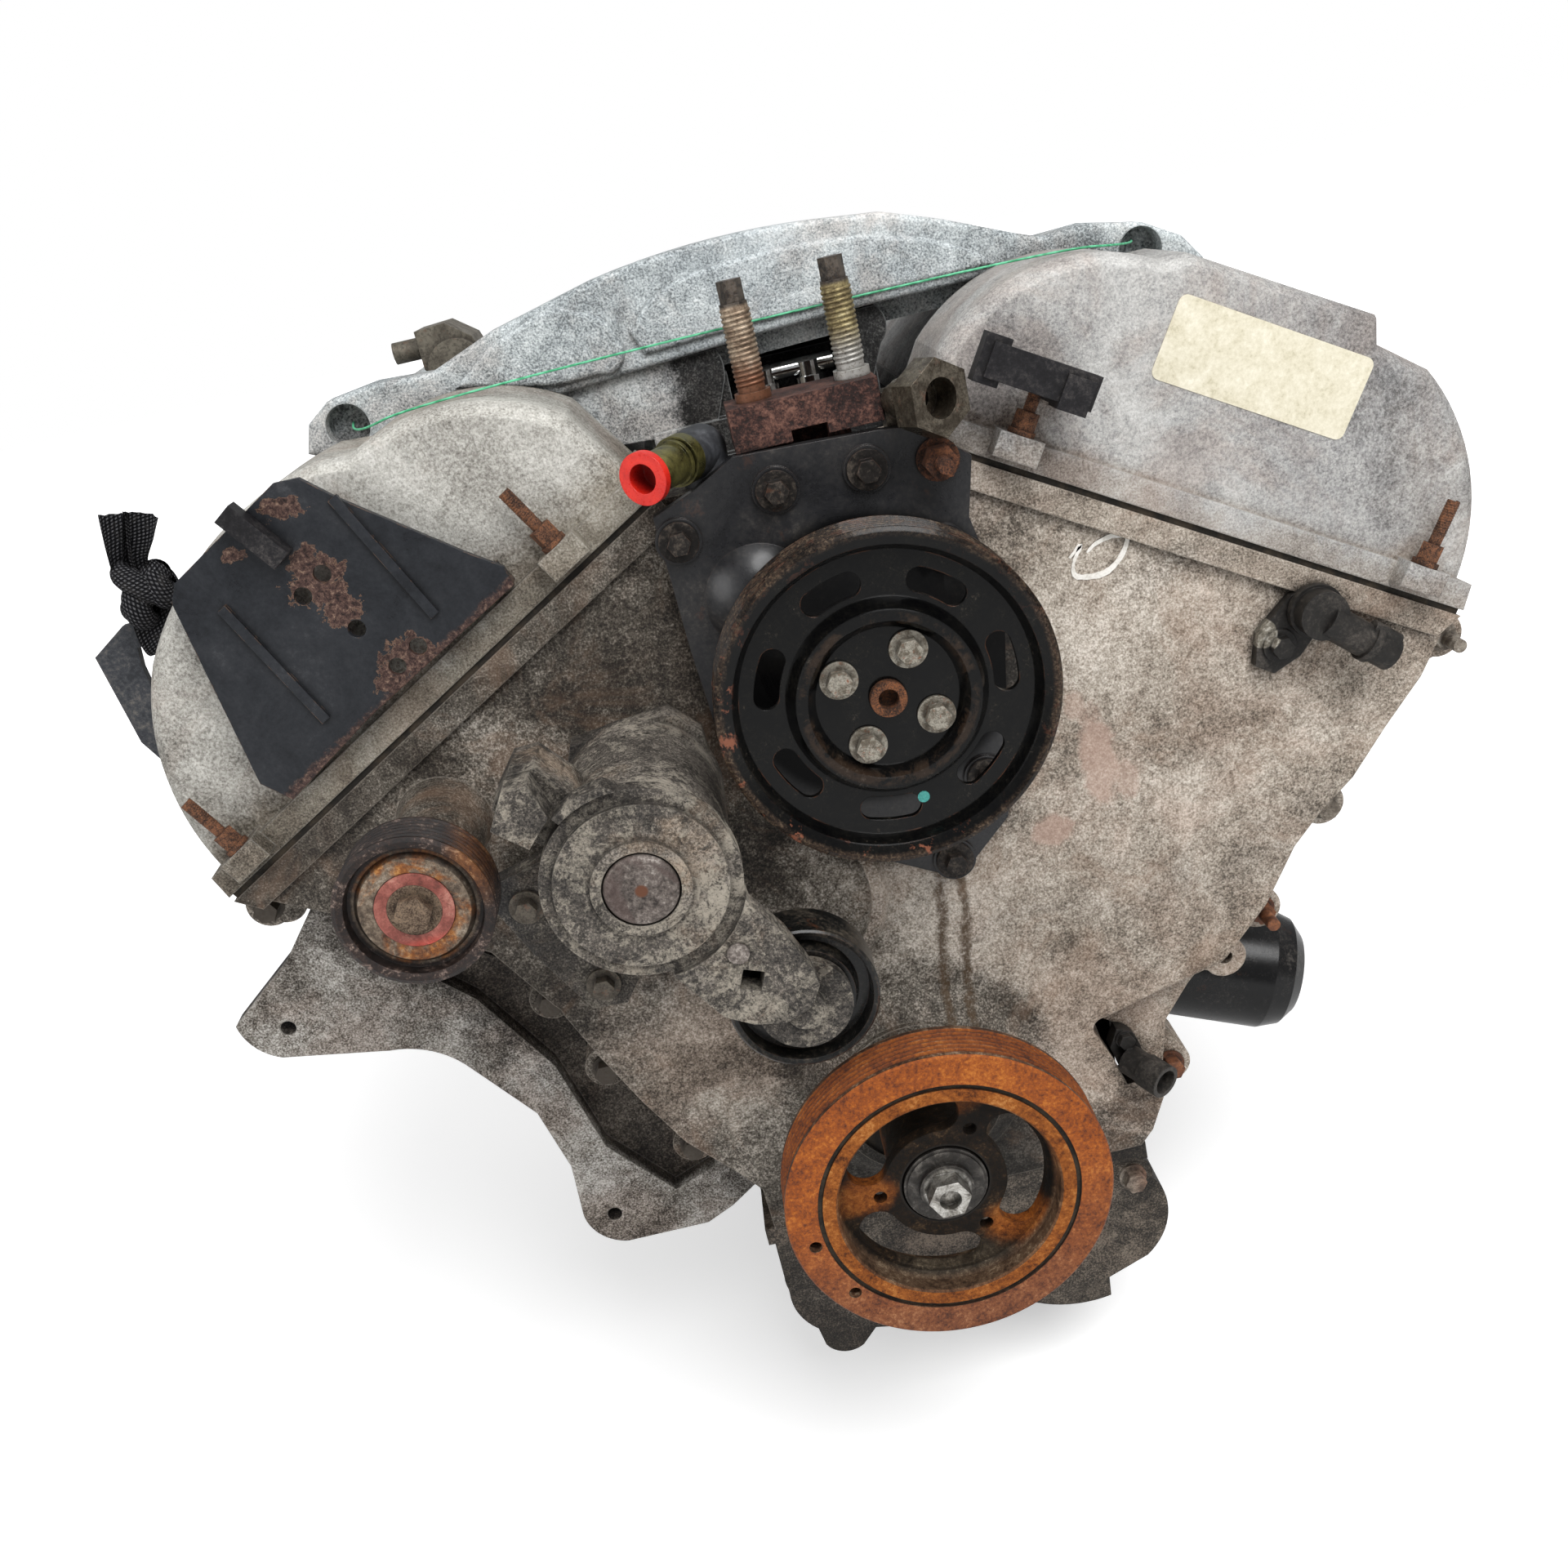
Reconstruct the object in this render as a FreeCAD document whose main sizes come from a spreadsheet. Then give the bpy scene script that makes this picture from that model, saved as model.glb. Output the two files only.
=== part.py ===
import FreeCAD, Part
import math
import os

import Sketcher
from FreeCAD import Placement, Rotation, Vector

# Six cylinder vee engine, seen from its accessory drive end.
# Millimetres, +Z up, the accessory drive faces -Y, +X to the right seen from there.
# The crankshaft axis is the Y axis and its rear flange lies at Y = 0.

doc = FreeCAD.newDocument("engine")
sheet = doc.addObject("Spreadsheet::Sheet", "Sizes")

SIZES = [
    ("bank_angle", 30.0, "each bank leans this far from the vertical, degrees"),
    ("deck_height", 205.0, "crank axis to the top of the block, along a bank"),
    ("joint_height", 330.0, "crank axis to the valve cover joint, along a bank"),
    ("gasket_thickness", 3.0, "valve cover gasket"),
    ("block_rear", -12.0, "rear face of the block"),
    ("block_front", -380.0, "front face of the block and heads"),
    ("cover_depth", 60.0, "depth of the timing cover"),
    ("cover_wall", 5.0, "timing cover wall"),
    ("crank_case_half", 122.0, "half width of the crankcase"),
    ("bay_radius", 88.0, "crank bays"),
    ("bulkhead", 24.0, "thickness of a main bearing wall"),
    ("ladder_depth", 75.0, "lower crankcase"),
    ("pan_bottom", -235.0, "underside of the oil pan"),
    ("pan_step", -192.0, "underside of the shallow end of the oil pan"),
    ("pan_wall", 5.0, "oil pan wall"),
    ("main_radius", 32.0, "main journals"),
    ("pin_radius", 25.0, "crank pins"),
    ("throw", 40.0, "crank throw"),
    ("counterweight", 74.0, "counterweight radius"),
    ("nose_radius", 20.0, "front end of the crankshaft"),
    ("flange_radius", 46.0, "rear flange of the crankshaft"),
    ("flange_pcd", 76.0, "flywheel bolt circle"),
    ("flange_hole", 5.0, "flywheel bolt hole radius"),
    ("fit_gap", 0.05, "radial clearance of a running fit"),
    ("soft_gap", 0.3, "clearance beside a part that moves"),
    ("belt_offset", 87.0, "cover face to the middle of the belt"),
    ("belt_half", 12.0, "half the width of a belt pulley"),
    ("groove_pitch", 3.56, "pitch of the belt ribs"),
    ("groove_depth", 2.8, "depth of the belt grooves"),
    ("damper_front", -540.0, "front face of the crankshaft damper"),
    ("damper_radius", 81.0, "outside of the damper"),
    ("damper_width", 27.0, "width of the inertia ring"),
    ("rubber_radius", 63.8, "middle of the rubber ring"),
    ("rubber_thickness", 2.4, "rubber ring"),
    ("damper_rim", 55.0, "inside of the hub's rim"),
    ("damper_web_depth", 13.0, "front face back to the web"),
    ("puller_pcd", 66.0, "three threaded holes in the web"),
    ("puller_hole", 3.4, "radius of those holes"),
    ("window_inner", 30.0, "damper windows, inner radius"),
    ("window_outer", 50.0, "damper windows, outer radius"),
    ("pump_x", 19.0, "water pump axis"),
    ("pump_z", 257.0, "water pump axis"),
    ("pump_radius", 74.7, "water pump pulley"),
    ("pump_lip", 66.0, "inside of the pulley's front lip"),
    ("pump_pcd", 45.6, "pulley bolt circle"),
    ("pump_shaft_radius", 8.0, "pump shaft"),
    ("slot_middle", 52.0, "middle radius of the pulley slots"),
    ("slot_half", 5.5, "half width of a pulley slot"),
    ("idler_x", -202.6, "idler axis"),
    ("idler_z", 212.0, "idler axis"),
    ("idler_radius", 35.5, "idler pulley"),
    ("pivot_x", -102.0, "tensioner pivot"),
    ("pivot_z", 206.0, "tensioner pivot"),
    ("roller_x", -46.0, "tensioner pulley axis"),
    ("roller_z", 126.0, "tensioner pulley axis"),
    ("roller_radius", 35.0, "tensioner pulley"),
    ("arm_disc", 44.0, "tensioner arm, round part"),
    ("arm_thickness", 12.0, "tensioner arm"),
    ("square_drive", 9.8, "square hole for a wrench"),
    ("cam_middle", 26.0, "bank axis to the middle of the two camshafts"),
    ("cam_spacing", 108.0, "between the two camshafts of a bank"),
    ("cam_height", 352.0, "crank axis to the camshafts, along a bank"),
    ("cam_radius", 13.0, "camshaft journals"),
    ("lobe_base", 16.0, "cam lobe base circle"),
    ("lobe_lift", 8.5, "valve lift"),
    ("cam_sprocket_radius", 46.0, "camshaft sprocket"),
    ("crank_sprocket_radius", 23.0, "crankshaft sprocket, half the camshaft one"),
    ("chain_height", 8.0, "timing chain, radial"),
    ("chain_width", 9.0, "timing chain, along the axis"),
    ("chain_row_near", -398.0, "chain of the left bank"),
    ("chain_row_far", -416.0, "chain of the right bank"),
    ("dome_outer", 171.0, "valve cover, outboard end"),
    ("dome_inner", 119.0, "valve cover, inboard end"),
    ("dome_top", 452.0, "valve cover dome, along a bank"),
    ("dome_depth", 76.0, "valve cover dome, front to back"),
    ("valve_cover_wall", 4.0, "valve cover wall"),
    ("body_top", 396.0, "valve cover behind the dome, along a bank"),
    ("stud_radius", 6.5, "mounting studs"),
    ("stud_spacing", 47.0, "between the two mounting studs"),
    ("stud_length", 54.0, "mounting studs above their block"),
    ("block_top", 377.0, "top of the mounting block"),
    ("accessory_hole", 4.3, "threaded holes of the accessory bracket"),
    ("accessory_face", -398.0, "front face of the accessory bracket"),
    ("filter_radius", 37.0, "oil filter"),
    ("string_radius", 0.65, "green string"),
    ("strap_width", 25.0, "webbing strap"),
    ("tube_radius", 9.5, "coolant tube"),
    ("cap_radius", 12.0, "red cap, over the tube"),
    ("throttle_radius", 32.0, "intake throttle opening"),
    ("throttle_bolts", 64.0, "throttle bolts, both ways"),
    ("filler_radius", 24.0, "oil filler cap"),
]

for row, (alias, value, note) in enumerate(SIZES, 1):
    sheet.set("A%d" % row, note)
    sheet.set("B%d" % row, str(value))
    sheet.setAlias("B%d" % row, alias)
doc.recompute()


class Size:
    """A length that carries its value and the expression it comes from."""

    def __init__(self, value, text):
        self.value = float(value)
        self.text = text

    def join(self, other, sign, value):
        text = other.text if isinstance(other, Size) else repr(float(other))
        return Size(value, "(%s %s %s)" % (self.text, sign, text))

    def __add__(self, other):
        return self.join(other, "+", self.value + float(other))

    def __sub__(self, other):
        return self.join(other, "-", self.value - float(other))

    def __mul__(self, other):
        return self.join(other, "*", self.value * float(other))

    def __truediv__(self, other):
        return self.join(other, "/", self.value / float(other))

    def __radd__(self, other):
        return self + other

    def __rmul__(self, other):
        return self * other

    def __neg__(self):
        return Size(-self.value, "(-1 * %s)" % self.text)

    def __float__(self):
        return self.value


def as_size(value):
    return value if isinstance(value, Size) else Size(value, repr(float(value)))


S = {alias: Size(getattr(sheet, alias), "Sizes." + alias) for alias, value, note in SIZES}
N = {alias: size.value for alias, size in S.items()}

SIN = math.sin(math.radians(N["bank_angle"]))
COS = math.cos(math.radians(N["bank_angle"]))
LEFT, RIGHT = -1, 1
COVER_FRONT = N["block_front"] - N["cover_depth"]
COVER_FACE = S["block_front"] - S["cover_depth"]
BELT = COVER_FACE - S["belt_offset"]
BELT_Y = float(BELT)
BELT_FRONT = BELT_Y - N["belt_half"]
BELT_BACK = BELT_Y + N["belt_half"]

nodes = []


def keep(thing, label):
    """Names an object as one sub-part."""
    thing.Label = label
    nodes.append(thing)
    return thing


def solid(label, shape):
    """A sub-part whose shape is worked out from the sheet by this script."""
    thing = doc.addObject("Part::Feature", label)
    thing.Shape = shape
    thing.Placement = Placement()
    return keep(thing, label)


# Shapes.

def point(x, y, z):
    return Vector(float(x), float(y), float(z))


def bank_point(side, w, v):
    """A point of a bank: w outboard of the bank axis, v along it."""
    return side * (SIN * v + COS * w), COS * v - SIN * w


def wire_at(outline, y):
    """A closed wire in the plane Y = y. A third item marks the middle of an arc."""
    edges = []
    count = len(outline)
    i = 0
    while i < count:
        start = outline[i]
        after = outline[(i + 1) % count]
        if len(after) == 3:
            end = outline[(i + 2) % count]
            arc = Part.Arc(point(start[0], y, start[1]), point(after[0], y, after[1]), point(end[0], y, end[1]))
            edges.append(arc.toShape())
            i += 2
        else:
            edges.append(Part.LineSegment(point(start[0], y, start[1]), point(after[0], y, after[1])).toShape())
            i += 1
    return Part.Wire(edges)


def prism(outline, y_from, y_to):
    face = Part.Face(wire_at(outline, y_from))
    return face.extrude(Vector(0, y_to - y_from, 0))


def banked(side, outline):
    """Turns an outline in (w, v) into one in (x, z)."""
    return [bank_point(side, p[0], p[1]) + tuple(p[2:]) for p in outline]


def shrunk(outline, factor, centre):
    """The outline drawn smaller about a point."""
    cx, cz = centre
    return [(cx + (p[0] - cx) * factor, cz + (p[1] - cz) * factor) + tuple(p[2:]) for p in outline]


def mirrored(half):
    """Closes a right half outline, given from the top down, with its mirror image."""
    left = [(-p[0],) + tuple(p[1:]) for p in reversed(half) if abs(p[0]) > 1e-6]
    return list(half) + left


def rod(x, z, radius, y_from, y_to):
    """A cylinder along Y."""
    return Part.makeCylinder(radius, abs(y_to - y_from), point(x, min(y_from, y_to), z), Vector(0, 1, 0))


def ring(x, z, outer, inner, y_from, y_to):
    return rod(x, z, outer, y_from, y_to).cut(rod(x, z, inner, y_from - 1, y_to + 1))


def box(x_from, x_to, y_from, y_to, z_from, z_to):
    return Part.makeBox(x_to - x_from, y_to - y_from, z_to - z_from, point(x_from, y_from, z_from))


def hexagon(across, height, base, axis):
    """A hexagonal prism from a base point along an axis."""
    radius = across / math.sqrt(3)
    corners = [Vector(radius * math.cos(math.radians(60 * k)), radius * math.sin(math.radians(60 * k)), 0)
               for k in range(7)]
    shape = Part.Face(Part.makePolygon(corners)).extrude(Vector(0, 0, height))
    shape.Placement = Placement(base, Rotation(Vector(0, 0, 1), axis))
    return shape


def bolt(base, axis, across, head, flange=0.0, shank=0.0):
    """A hexagon flange bolt seated at base, its head towards axis."""
    parts = []
    seat = base
    if flange:
        parts.append(Part.makeCylinder(flange, head * 0.3, base, axis))
        seat = base + axis * (head * 0.3)
    shape = hexagon(across, head, seat, axis)
    for other in parts:
        shape = shape.fuse(other)
    if shank:
        radius = across * 0.3
        shape = shape.fuse(Part.makeCylinder(radius, shank, base - axis * shank, axis))
    return shape


def joined(shapes):
    """One solid of shapes that meet or overlap."""
    whole = shapes[0]
    if len(shapes) > 1:
        whole = whole.multiFuse(shapes[1:])
    return whole.removeSplitter()


def group(shapes):
    return Part.makeCompound(shapes)


def attach(sketch, body, role):
    plane = [one for one in body.Origin.OriginFeatures if one.Role == role][0]
    sketch.AttachmentSupport = [(plane, "")]
    sketch.MapMode = "FlatFace"


def closed_profile(sketch, profile):
    """Draws a closed polygon whose corners are bound to the sheet."""
    corners = [(as_size(a), as_size(b)) for a, b in profile]
    count = len(corners)
    lines = []
    for i in range(count):
        start, end = corners[i], corners[(i + 1) % count]
        lines.append(Part.LineSegment(point(start[0], start[1], 0), point(end[0], end[1], 0)))
    sketch.addGeometry(lines, False)
    for i in range(count):
        sketch.addConstraint(Sketcher.Constraint("Coincident", i, 2, (i + 1) % count, 1))
    for i, (a, b) in enumerate(corners):
        for kind, size in (("DistanceX", a), ("DistanceY", b)):
            number = sketch.addConstraint(Sketcher.Constraint(kind, -1, 1, i, 1, float(size)))
            sketch.setExpression("Constraints[%d]" % number, size.text)


def turned(label, centre, profile):
    """A body turned about an axis parallel to Y: the profile gives radius and Y."""
    body = doc.addObject("PartDesign::Body", label)
    sketch = body.newObject("Sketcher::SketchObject", label + "_profile")
    attach(sketch, body, "XY_Plane")
    closed_profile(sketch, profile)
    turn = body.newObject("PartDesign::Revolution", label + "_turn")
    turn.Profile = sketch
    turn.ReferenceAxis = (sketch, ["V_Axis"])
    turn.Angle = 360
    x, z = as_size(centre[0]), as_size(centre[1])
    body.setExpression("Placement.Base.x", x.text)
    body.setExpression("Placement.Base.z", z.text)
    doc.recompute()
    return keep(body, label)


def add_ring_slot(sketch, inner, outer, middle, half):
    """A kidney slot between two radii, centred on an angle in degrees."""
    centre = Vector(0, 0, 0)
    up = Vector(0, 0, 1)
    first, last = math.radians(middle - half), math.radians(middle + half)
    mean, reach = (inner + outer) / 2, (outer - inner) / 2
    for radius in (inner, outer):
        sketch.addGeometry(Part.ArcOfCircle(Part.Circle(centre, up, radius), first, last), False)
    for angle, start in ((last, last), (first, first + math.pi)):
        end = Vector(mean * math.cos(angle), mean * math.sin(angle), 0)
        sketch.addGeometry(Part.ArcOfCircle(Part.Circle(end, up, reach), start, start + math.pi), False)


def cut_through(body, name, draw, copies):
    """Cuts a sketch right through a body and repeats it round the axis."""
    before = body.Shape.Volume
    sketch = body.newObject("Sketcher::SketchObject", name + "_sketch")
    attach(sketch, body, "XZ_Plane")
    draw(sketch)
    pocket = body.newObject("PartDesign::Pocket", name)
    pocket.Profile = sketch
    pocket.Type = "ThroughAll"
    pocket.Midplane = True
    doc.recompute()
    last = pocket
    if copies > 1:
        last = body.newObject("PartDesign::PolarPattern", name + "_copies")
        last.Originals = [pocket]
        last.Axis = (sketch, ["N_Axis"])
        last.Angle = 360
        last.Occurrences = copies
    body.Tip = last
    doc.recompute()
    if body.Shape.Volume >= before:
        raise RuntimeError(name + " cut nothing")


def grooved(radius, front, back, count):
    """Profile points of a ribbed belt face from its front edge to its back edge."""
    pitch = S["groove_pitch"]
    depth = S["groove_depth"]
    middle = (front + back) / 2
    points = [(radius, front)]
    for k in range(count):
        start = middle + pitch * (k - count / 2)
        points.append((radius, start + 0.2))
        points.append((radius - depth, start + pitch / 2))
        points.append((radius, start + pitch - 0.2))
    points.append((radius, back))
    return points


# Block, lower crankcase and oil pan.

def main_bearings():
    first = N["block_front"] + N["bulkhead"] / 2
    last = N["block_rear"] - N["bulkhead"] / 2
    return [first + (last - first) * k / 3 for k in range(4)]


def crank_bays():
    """The spaces for the crank throws and the main bearing bores."""
    mains = main_bearings()
    half = N["bulkhead"] / 2
    shapes = [rod(0, 0, N["bay_radius"], mains[k] + half, mains[k + 1] - half) for k in range(3)]
    bore = rod(0, 0, N["main_radius"] + N["fit_gap"], N["block_front"] - 1, N["block_rear"] + 1)
    return shapes + [bore]


BELL_X, BELL_LOW, BELL_HIGH, BELL_HOLE = 105.0, 15.0, 110.0, 4.25
SIDE_HOLE, SIDE_Y, SIDE_Y_HALF, SIDE_Z, SIDE_Z_HALF = 4.25, -150.0, 50.0, -37.0, 22.0


def make_block():
    deck, half = N["deck_height"], N["crank_case_half"]
    outline = [(0, 150.0), bank_point(RIGHT, -62, deck), bank_point(RIGHT, 72, deck),
               bank_point(RIGHT, 72, deck - 95), (half, 22.0), (half, 0.0)]
    shape = prism(mirrored(outline), N["block_front"], N["block_rear"])
    for cutter in crank_bays():
        shape = shape.cut(cutter)
    for x in (-BELL_X, BELL_X):
        for z in (BELL_LOW, BELL_HIGH):
            shape = shape.cut(rod(x, z, BELL_HOLE, N["block_rear"] - 25, N["block_rear"] + 1))
    for side in (LEFT, RIGHT):
        for k in range(3):
            y = N["block_front"] + 62 + 122 * k
            rib = prism(banked(side, [(70, deck - 8), (78, deck - 14), (78, deck - 88), (70, deck - 95)]), y, y + 9)
            shape = shape.fuse(rib)
    solid("cylinder_block", shape.removeSplitter())


def make_lower_crankcase():
    half = N["crank_case_half"]
    shape = box(-half, half, N["block_front"], N["block_rear"], -N["ladder_depth"], 0)
    for cutter in crank_bays():
        shape = shape.cut(cutter)
    for side in (LEFT, RIGHT):
        for y in (SIDE_Y - SIDE_Y_HALF, SIDE_Y + SIDE_Y_HALF):
            for z in (SIDE_Z - SIDE_Z_HALF, SIDE_Z + SIDE_Z_HALF):
                base = point(side * (half - 20), y, z)
                shape = shape.cut(Part.makeCylinder(SIDE_HOLE, 30, base, Vector(side, 0, 0)))
    solid("lower_crankcase", shape)


PAN_BOLT = (111.0, -97.0)


def make_oil_pan():
    """Cast pan: a rounded front under the timing cover, a shallow end and a deep sump behind it."""
    rail = -N["ladder_depth"]
    front, rear = COVER_FRONT + 8, N["block_rear"] - 2
    left, right = -104.0, N["crank_case_half"]
    step, bottom, wall = N["pan_step"], N["pan_bottom"], N["pan_wall"]
    nose_back, sump_front = front + 56, front + 132
    nose = [(-98.0, rail), (-98.0, rail - 50), (-95.0, rail - 68, "arc"), (-85.0, rail - 81), (-40.0, rail - 91),
            (40.0, rail - 91), (88.0, rail - 91), (113.0, rail - 81), (125.0, rail - 66, "arc"),
            (128.0, rail - 38), (123.0, rail - 28, "arc"), (112.0, rail - 22), (112.0, rail)]

    def hull(inset):
        """The pan as a closed form, drawn smaller all round by the inset."""
        face = Part.Face(wire_at(nose, front + inset))
        if inset:
            face = face.makeOffset2D(-inset)
        chin = face.extrude(Vector(0, nose_back - front + wall, 0))
        upper = box(left + inset, right - inset, nose_back + inset, rear - inset, rail - 42 + inset, rail)
        shallow = [(left + inset, rail - 30), (left + inset, step + 34), (left + 6 + inset, step + 12, "arc"),
                   (left + 26 + inset, step + inset), (right - 46 - inset, step + inset),
                   (right - 12 - inset, step + 12, "arc"), (right - inset, step + 44), (right - inset, rail - 30)]
        middle = prism(shallow, nose_back + inset, rear - 60 - inset)
        sump = [(-80.0 + inset, step + 30), (-74.0 + inset, bottom + inset),
                (90.0 - inset, bottom + inset), (96.0 - inset, step + 30)]
        deep = prism(sump, sump_front + inset, rear - 90 - inset)
        return chin.fuse([upper, middle, deep])

    shape = hull(0).cut(hull(wall).fuse(box(left + wall, right - wall, N["block_front"] + 14,
                                            rear - wall, rail - 40, rail + 5)))
    tongue = prism([(-88, rail - 75), (-85, rail - 94), (-76, rail - 102, "arc"), (-63, rail - 100),
                    (-53, rail - 89), (-50, rail - 80)], front + 2, front + 18)
    heel = prism([(40, rail - 88), (43, rail - 99), (70, rail - 107, "arc"), (88, rail - 106), (89, rail - 88)],
                 front + 2, front + 30)
    shape = shape.fuse([tongue, heel])
    lip = box(left - 4, right + 4, nose_back, rear, rail - 9, rail)
    lip = lip.fuse(box(-102, 121, front - 2, nose_back, rail - 11, rail))
    lip = lip.cut(box(left + wall, right - wall, nose_back + 8, rear - wall, rail - 12, rail + 1))
    boss = rod(PAN_BOLT[0], PAN_BOLT[1], 12, front, front + 34)
    shape = shape.fuse([lip, boss])
    for k in range(4):
        rib_x = -70.0 + 44.0 * k
        shape = shape.fuse(box(rib_x, rib_x + 5, nose_back + 20, rear - 70, step - 6, step + 1))
    shape = shape.cut(rod(PAN_BOLT[0], PAN_BOLT[1], 4.2, front - 3, front + 32))
    drain = Part.makeCylinder(9, 6, point(96 - 3.5, -200, step - 14), Vector(1, 0, 0))
    solid("oil_pan", shape.fuse(drain).removeSplitter())


# Crankshaft and damper.

def make_crankshaft():
    mains = main_bearings()
    half = N["bulkhead"] / 2
    parts = [rod(0, 0, N["main_radius"], N["block_front"] - 4, N["block_rear"] - 1)]
    core = []
    for k in range(3):
        low, high = mains[k] + half + 3, mains[k + 1] - half - 3
        web = 12.0
        pin = (high - low - 3 * web) / 2
        core.append(rod(0, 0, N["main_radius"] + 1, low + web, high - web))
        for j in range(2):
            angle = math.radians(90 + 120 * k + 60 * j)
            px, pz = N["throw"] * math.cos(angle), N["throw"] * math.sin(angle)
            start = low + web + j * (pin + web)
            parts.append(rod(px, pz, N["pin_radius"], start - web / 2, start + pin + web / 2))
        for j in range(3):
            angle = 90 + 120 * k + 30 * j
            start = low + j * (pin + web)
            parts.append(crank_web(angle, start, start + web))
    shape = parts[0]
    for gap in core:
        shape = shape.cut(gap)
    shape = shape.multiFuse(parts[1:])
    flange = rod(0, 0, N["flange_radius"], N["block_rear"] + N["soft_gap"], 0)
    flange = flange.fuse(rod(0, 0, N["main_radius"], N["block_rear"] - 2, -1))
    for k in range(8):
        angle = math.radians(45 * k)
        x, z = N["flange_pcd"] / 2 * math.cos(angle), N["flange_pcd"] / 2 * math.sin(angle)
        flange = flange.cut(rod(x, z, N["flange_hole"], -20, 1))
    flange = flange.cut(rod(0, 0, 16, -8, 1))
    nose = rod(0, 0, N["nose_radius"], N["damper_front"] + 22, N["block_front"])
    bore = rod(0, 0, 6.0, N["damper_front"] + 20, N["damper_front"] + 70)
    shape = shape.fuse([flange, nose]).cut(bore)
    solid("crankshaft", shape.removeSplitter())


def crank_web(angle, y_from, y_to):
    """A web: a cheek round journal and pin, with a counterweight opposite."""
    turn = math.radians(angle)
    across = math.radians(38)
    outer, pin_side = N["counterweight"], N["throw"] + N["pin_radius"] + 4

    def polar(radius, offset):
        return radius * math.cos(turn + offset), radius * math.sin(turn + offset)

    outline = [polar(pin_side - 6, math.radians(24)), polar(pin_side, 0) + ("arc",),
               polar(pin_side - 6, -math.radians(24)),
               polar(36, -math.radians(95)), polar(outer, math.pi + across),
               polar(outer, math.pi) + ("arc",), polar(outer, math.pi - across),
               polar(36, math.radians(95))]
    return prism(outline, y_from, y_to)


def make_damper():
    front = S["damper_front"]
    web = front + S["damper_web_depth"]
    half = S["rubber_thickness"] / 2
    inner, outer = S["rubber_radius"] - half, S["rubber_radius"] + half
    back = front + S["damper_width"]
    nose = S["nose_radius"] + S["fit_gap"]
    hub_back = COVER_FACE - 6
    hub = turned("damper_hub", (0, 0), [
        (nose, web + 4), (22, web + 4), (22, web), (S["window_outer"] + 3, web), (S["damper_rim"], web - 4),
        (S["damper_rim"], front + 1), (S["damper_rim"] + 1, front), (inner, front), (inner, back),
        (S["damper_rim"], back), (S["damper_rim"] - 2, web + 7), (S["nose_radius"] + 9, web + 7),
        (S["nose_radius"] + 6, web + 14), (S["nose_radius"] + 6, hub_back), (nose, hub_back)])

    def windows(sketch):
        add_ring_slot(sketch, N["window_inner"] + 1, N["window_outer"] + 1, WINDOW_PHASE, WINDOW_HALF)

    def pullers(sketch):
        angle = math.radians(WINDOW_PHASE + 60)
        radius = N["puller_pcd"] / 2
        centre = Vector(radius * math.cos(angle), radius * math.sin(angle), 0)
        sketch.addGeometry(Part.Circle(centre, Vector(0, 0, 1), N["puller_hole"]), False)

    cut_through(hub, "damper_windows", windows, 3)
    cut_through(hub, "puller_holes", pullers, 3)
    turned("damper_rubber", (0, 0), [(inner, front + 1.5), (outer, front + 1.5), (outer, back - 1.5),
                                     (inner, back - 1.5)])
    ring_body = turned("damper_ring", (0, 0), [(outer, front), (S["damper_radius"] - 1, front)]
                       + grooved(S["damper_radius"], front + 1, back, 6)[0:]
                       + [(outer, back)])

    def dimples(sketch):
        for angle in (8, 37):
            x, z = -70 * math.cos(math.radians(angle)), -70 * math.sin(math.radians(angle))
            sketch.addGeometry(Part.Circle(Vector(x, z, 0), Vector(0, 0, 1), 3.2), False)

    cut_through(ring_body, "ring_holes", dimples, 1)


WINDOW_PHASE = -1.0
WINDOW_HALF = 34.0


def make_crank_bolt():
    front = N["damper_front"]
    face = front + N["damper_web_depth"] + 4
    washer = rod(0, 0, 21, face - 6, face).cut(rod(0, 0, 6.5, face - 7, face + 1))
    washer = washer.cut(ring(0, 0, 30, 19.5, face - 7, face - 5))
    head = bolt(point(0, face - 6, 0), Vector(0, -1, 0), 18.5, 9, 13.5, 40)
    head = head.cut(rod(0, 0, 5.5, face - 30, face - 13.5))
    solid("crank_bolt", group([head, washer]))


def make_crank_seal():
    inner = S["nose_radius"] + 6 + S["soft_gap"]
    face = COVER_FACE - 10
    turned("crank_front_seal", (0, 0), [(inner, face), (40, face), (40, face + 9), (37, face + 9),
                                        (37, face + 4), (inner, face + 4)])


# Timing drive.

def cam_axis(side, place):
    """Axis of a camshaft: place is -1 for the intake side and +1 for the exhaust side."""
    w = N["cam_middle"] + place * N["cam_spacing"] / 2
    return bank_point(side, w, N["cam_height"])


def lobe(x, z, angle, y):
    """A cam lobe: base circle, nose and the flanks between them."""
    base, nose = N["lobe_base"], N["lobe_base"] * 0.5
    reach = base + N["lobe_lift"] - nose
    ratio = math.acos((base - nose) / reach)
    turn = math.radians(angle)

    def around(cx, cz, radius, offset):
        return cx + radius * math.cos(turn + offset), cz + radius * math.sin(turn + offset)

    nx, nz = x + reach * math.cos(turn), z + reach * math.sin(turn)
    outline = [around(x, z, base, ratio), around(x, z, base, math.pi) + ("arc",), around(x, z, base, -ratio),
               around(nx, nz, nose, -ratio), around(nx, nz, nose, 0) + ("arc",), around(nx, nz, nose, ratio)]
    return prism(outline, y - 6, y + 6)


def cam_stations():
    mains = main_bearings()
    return [mains[0], mains[1], mains[2], mains[3] - 6]


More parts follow.
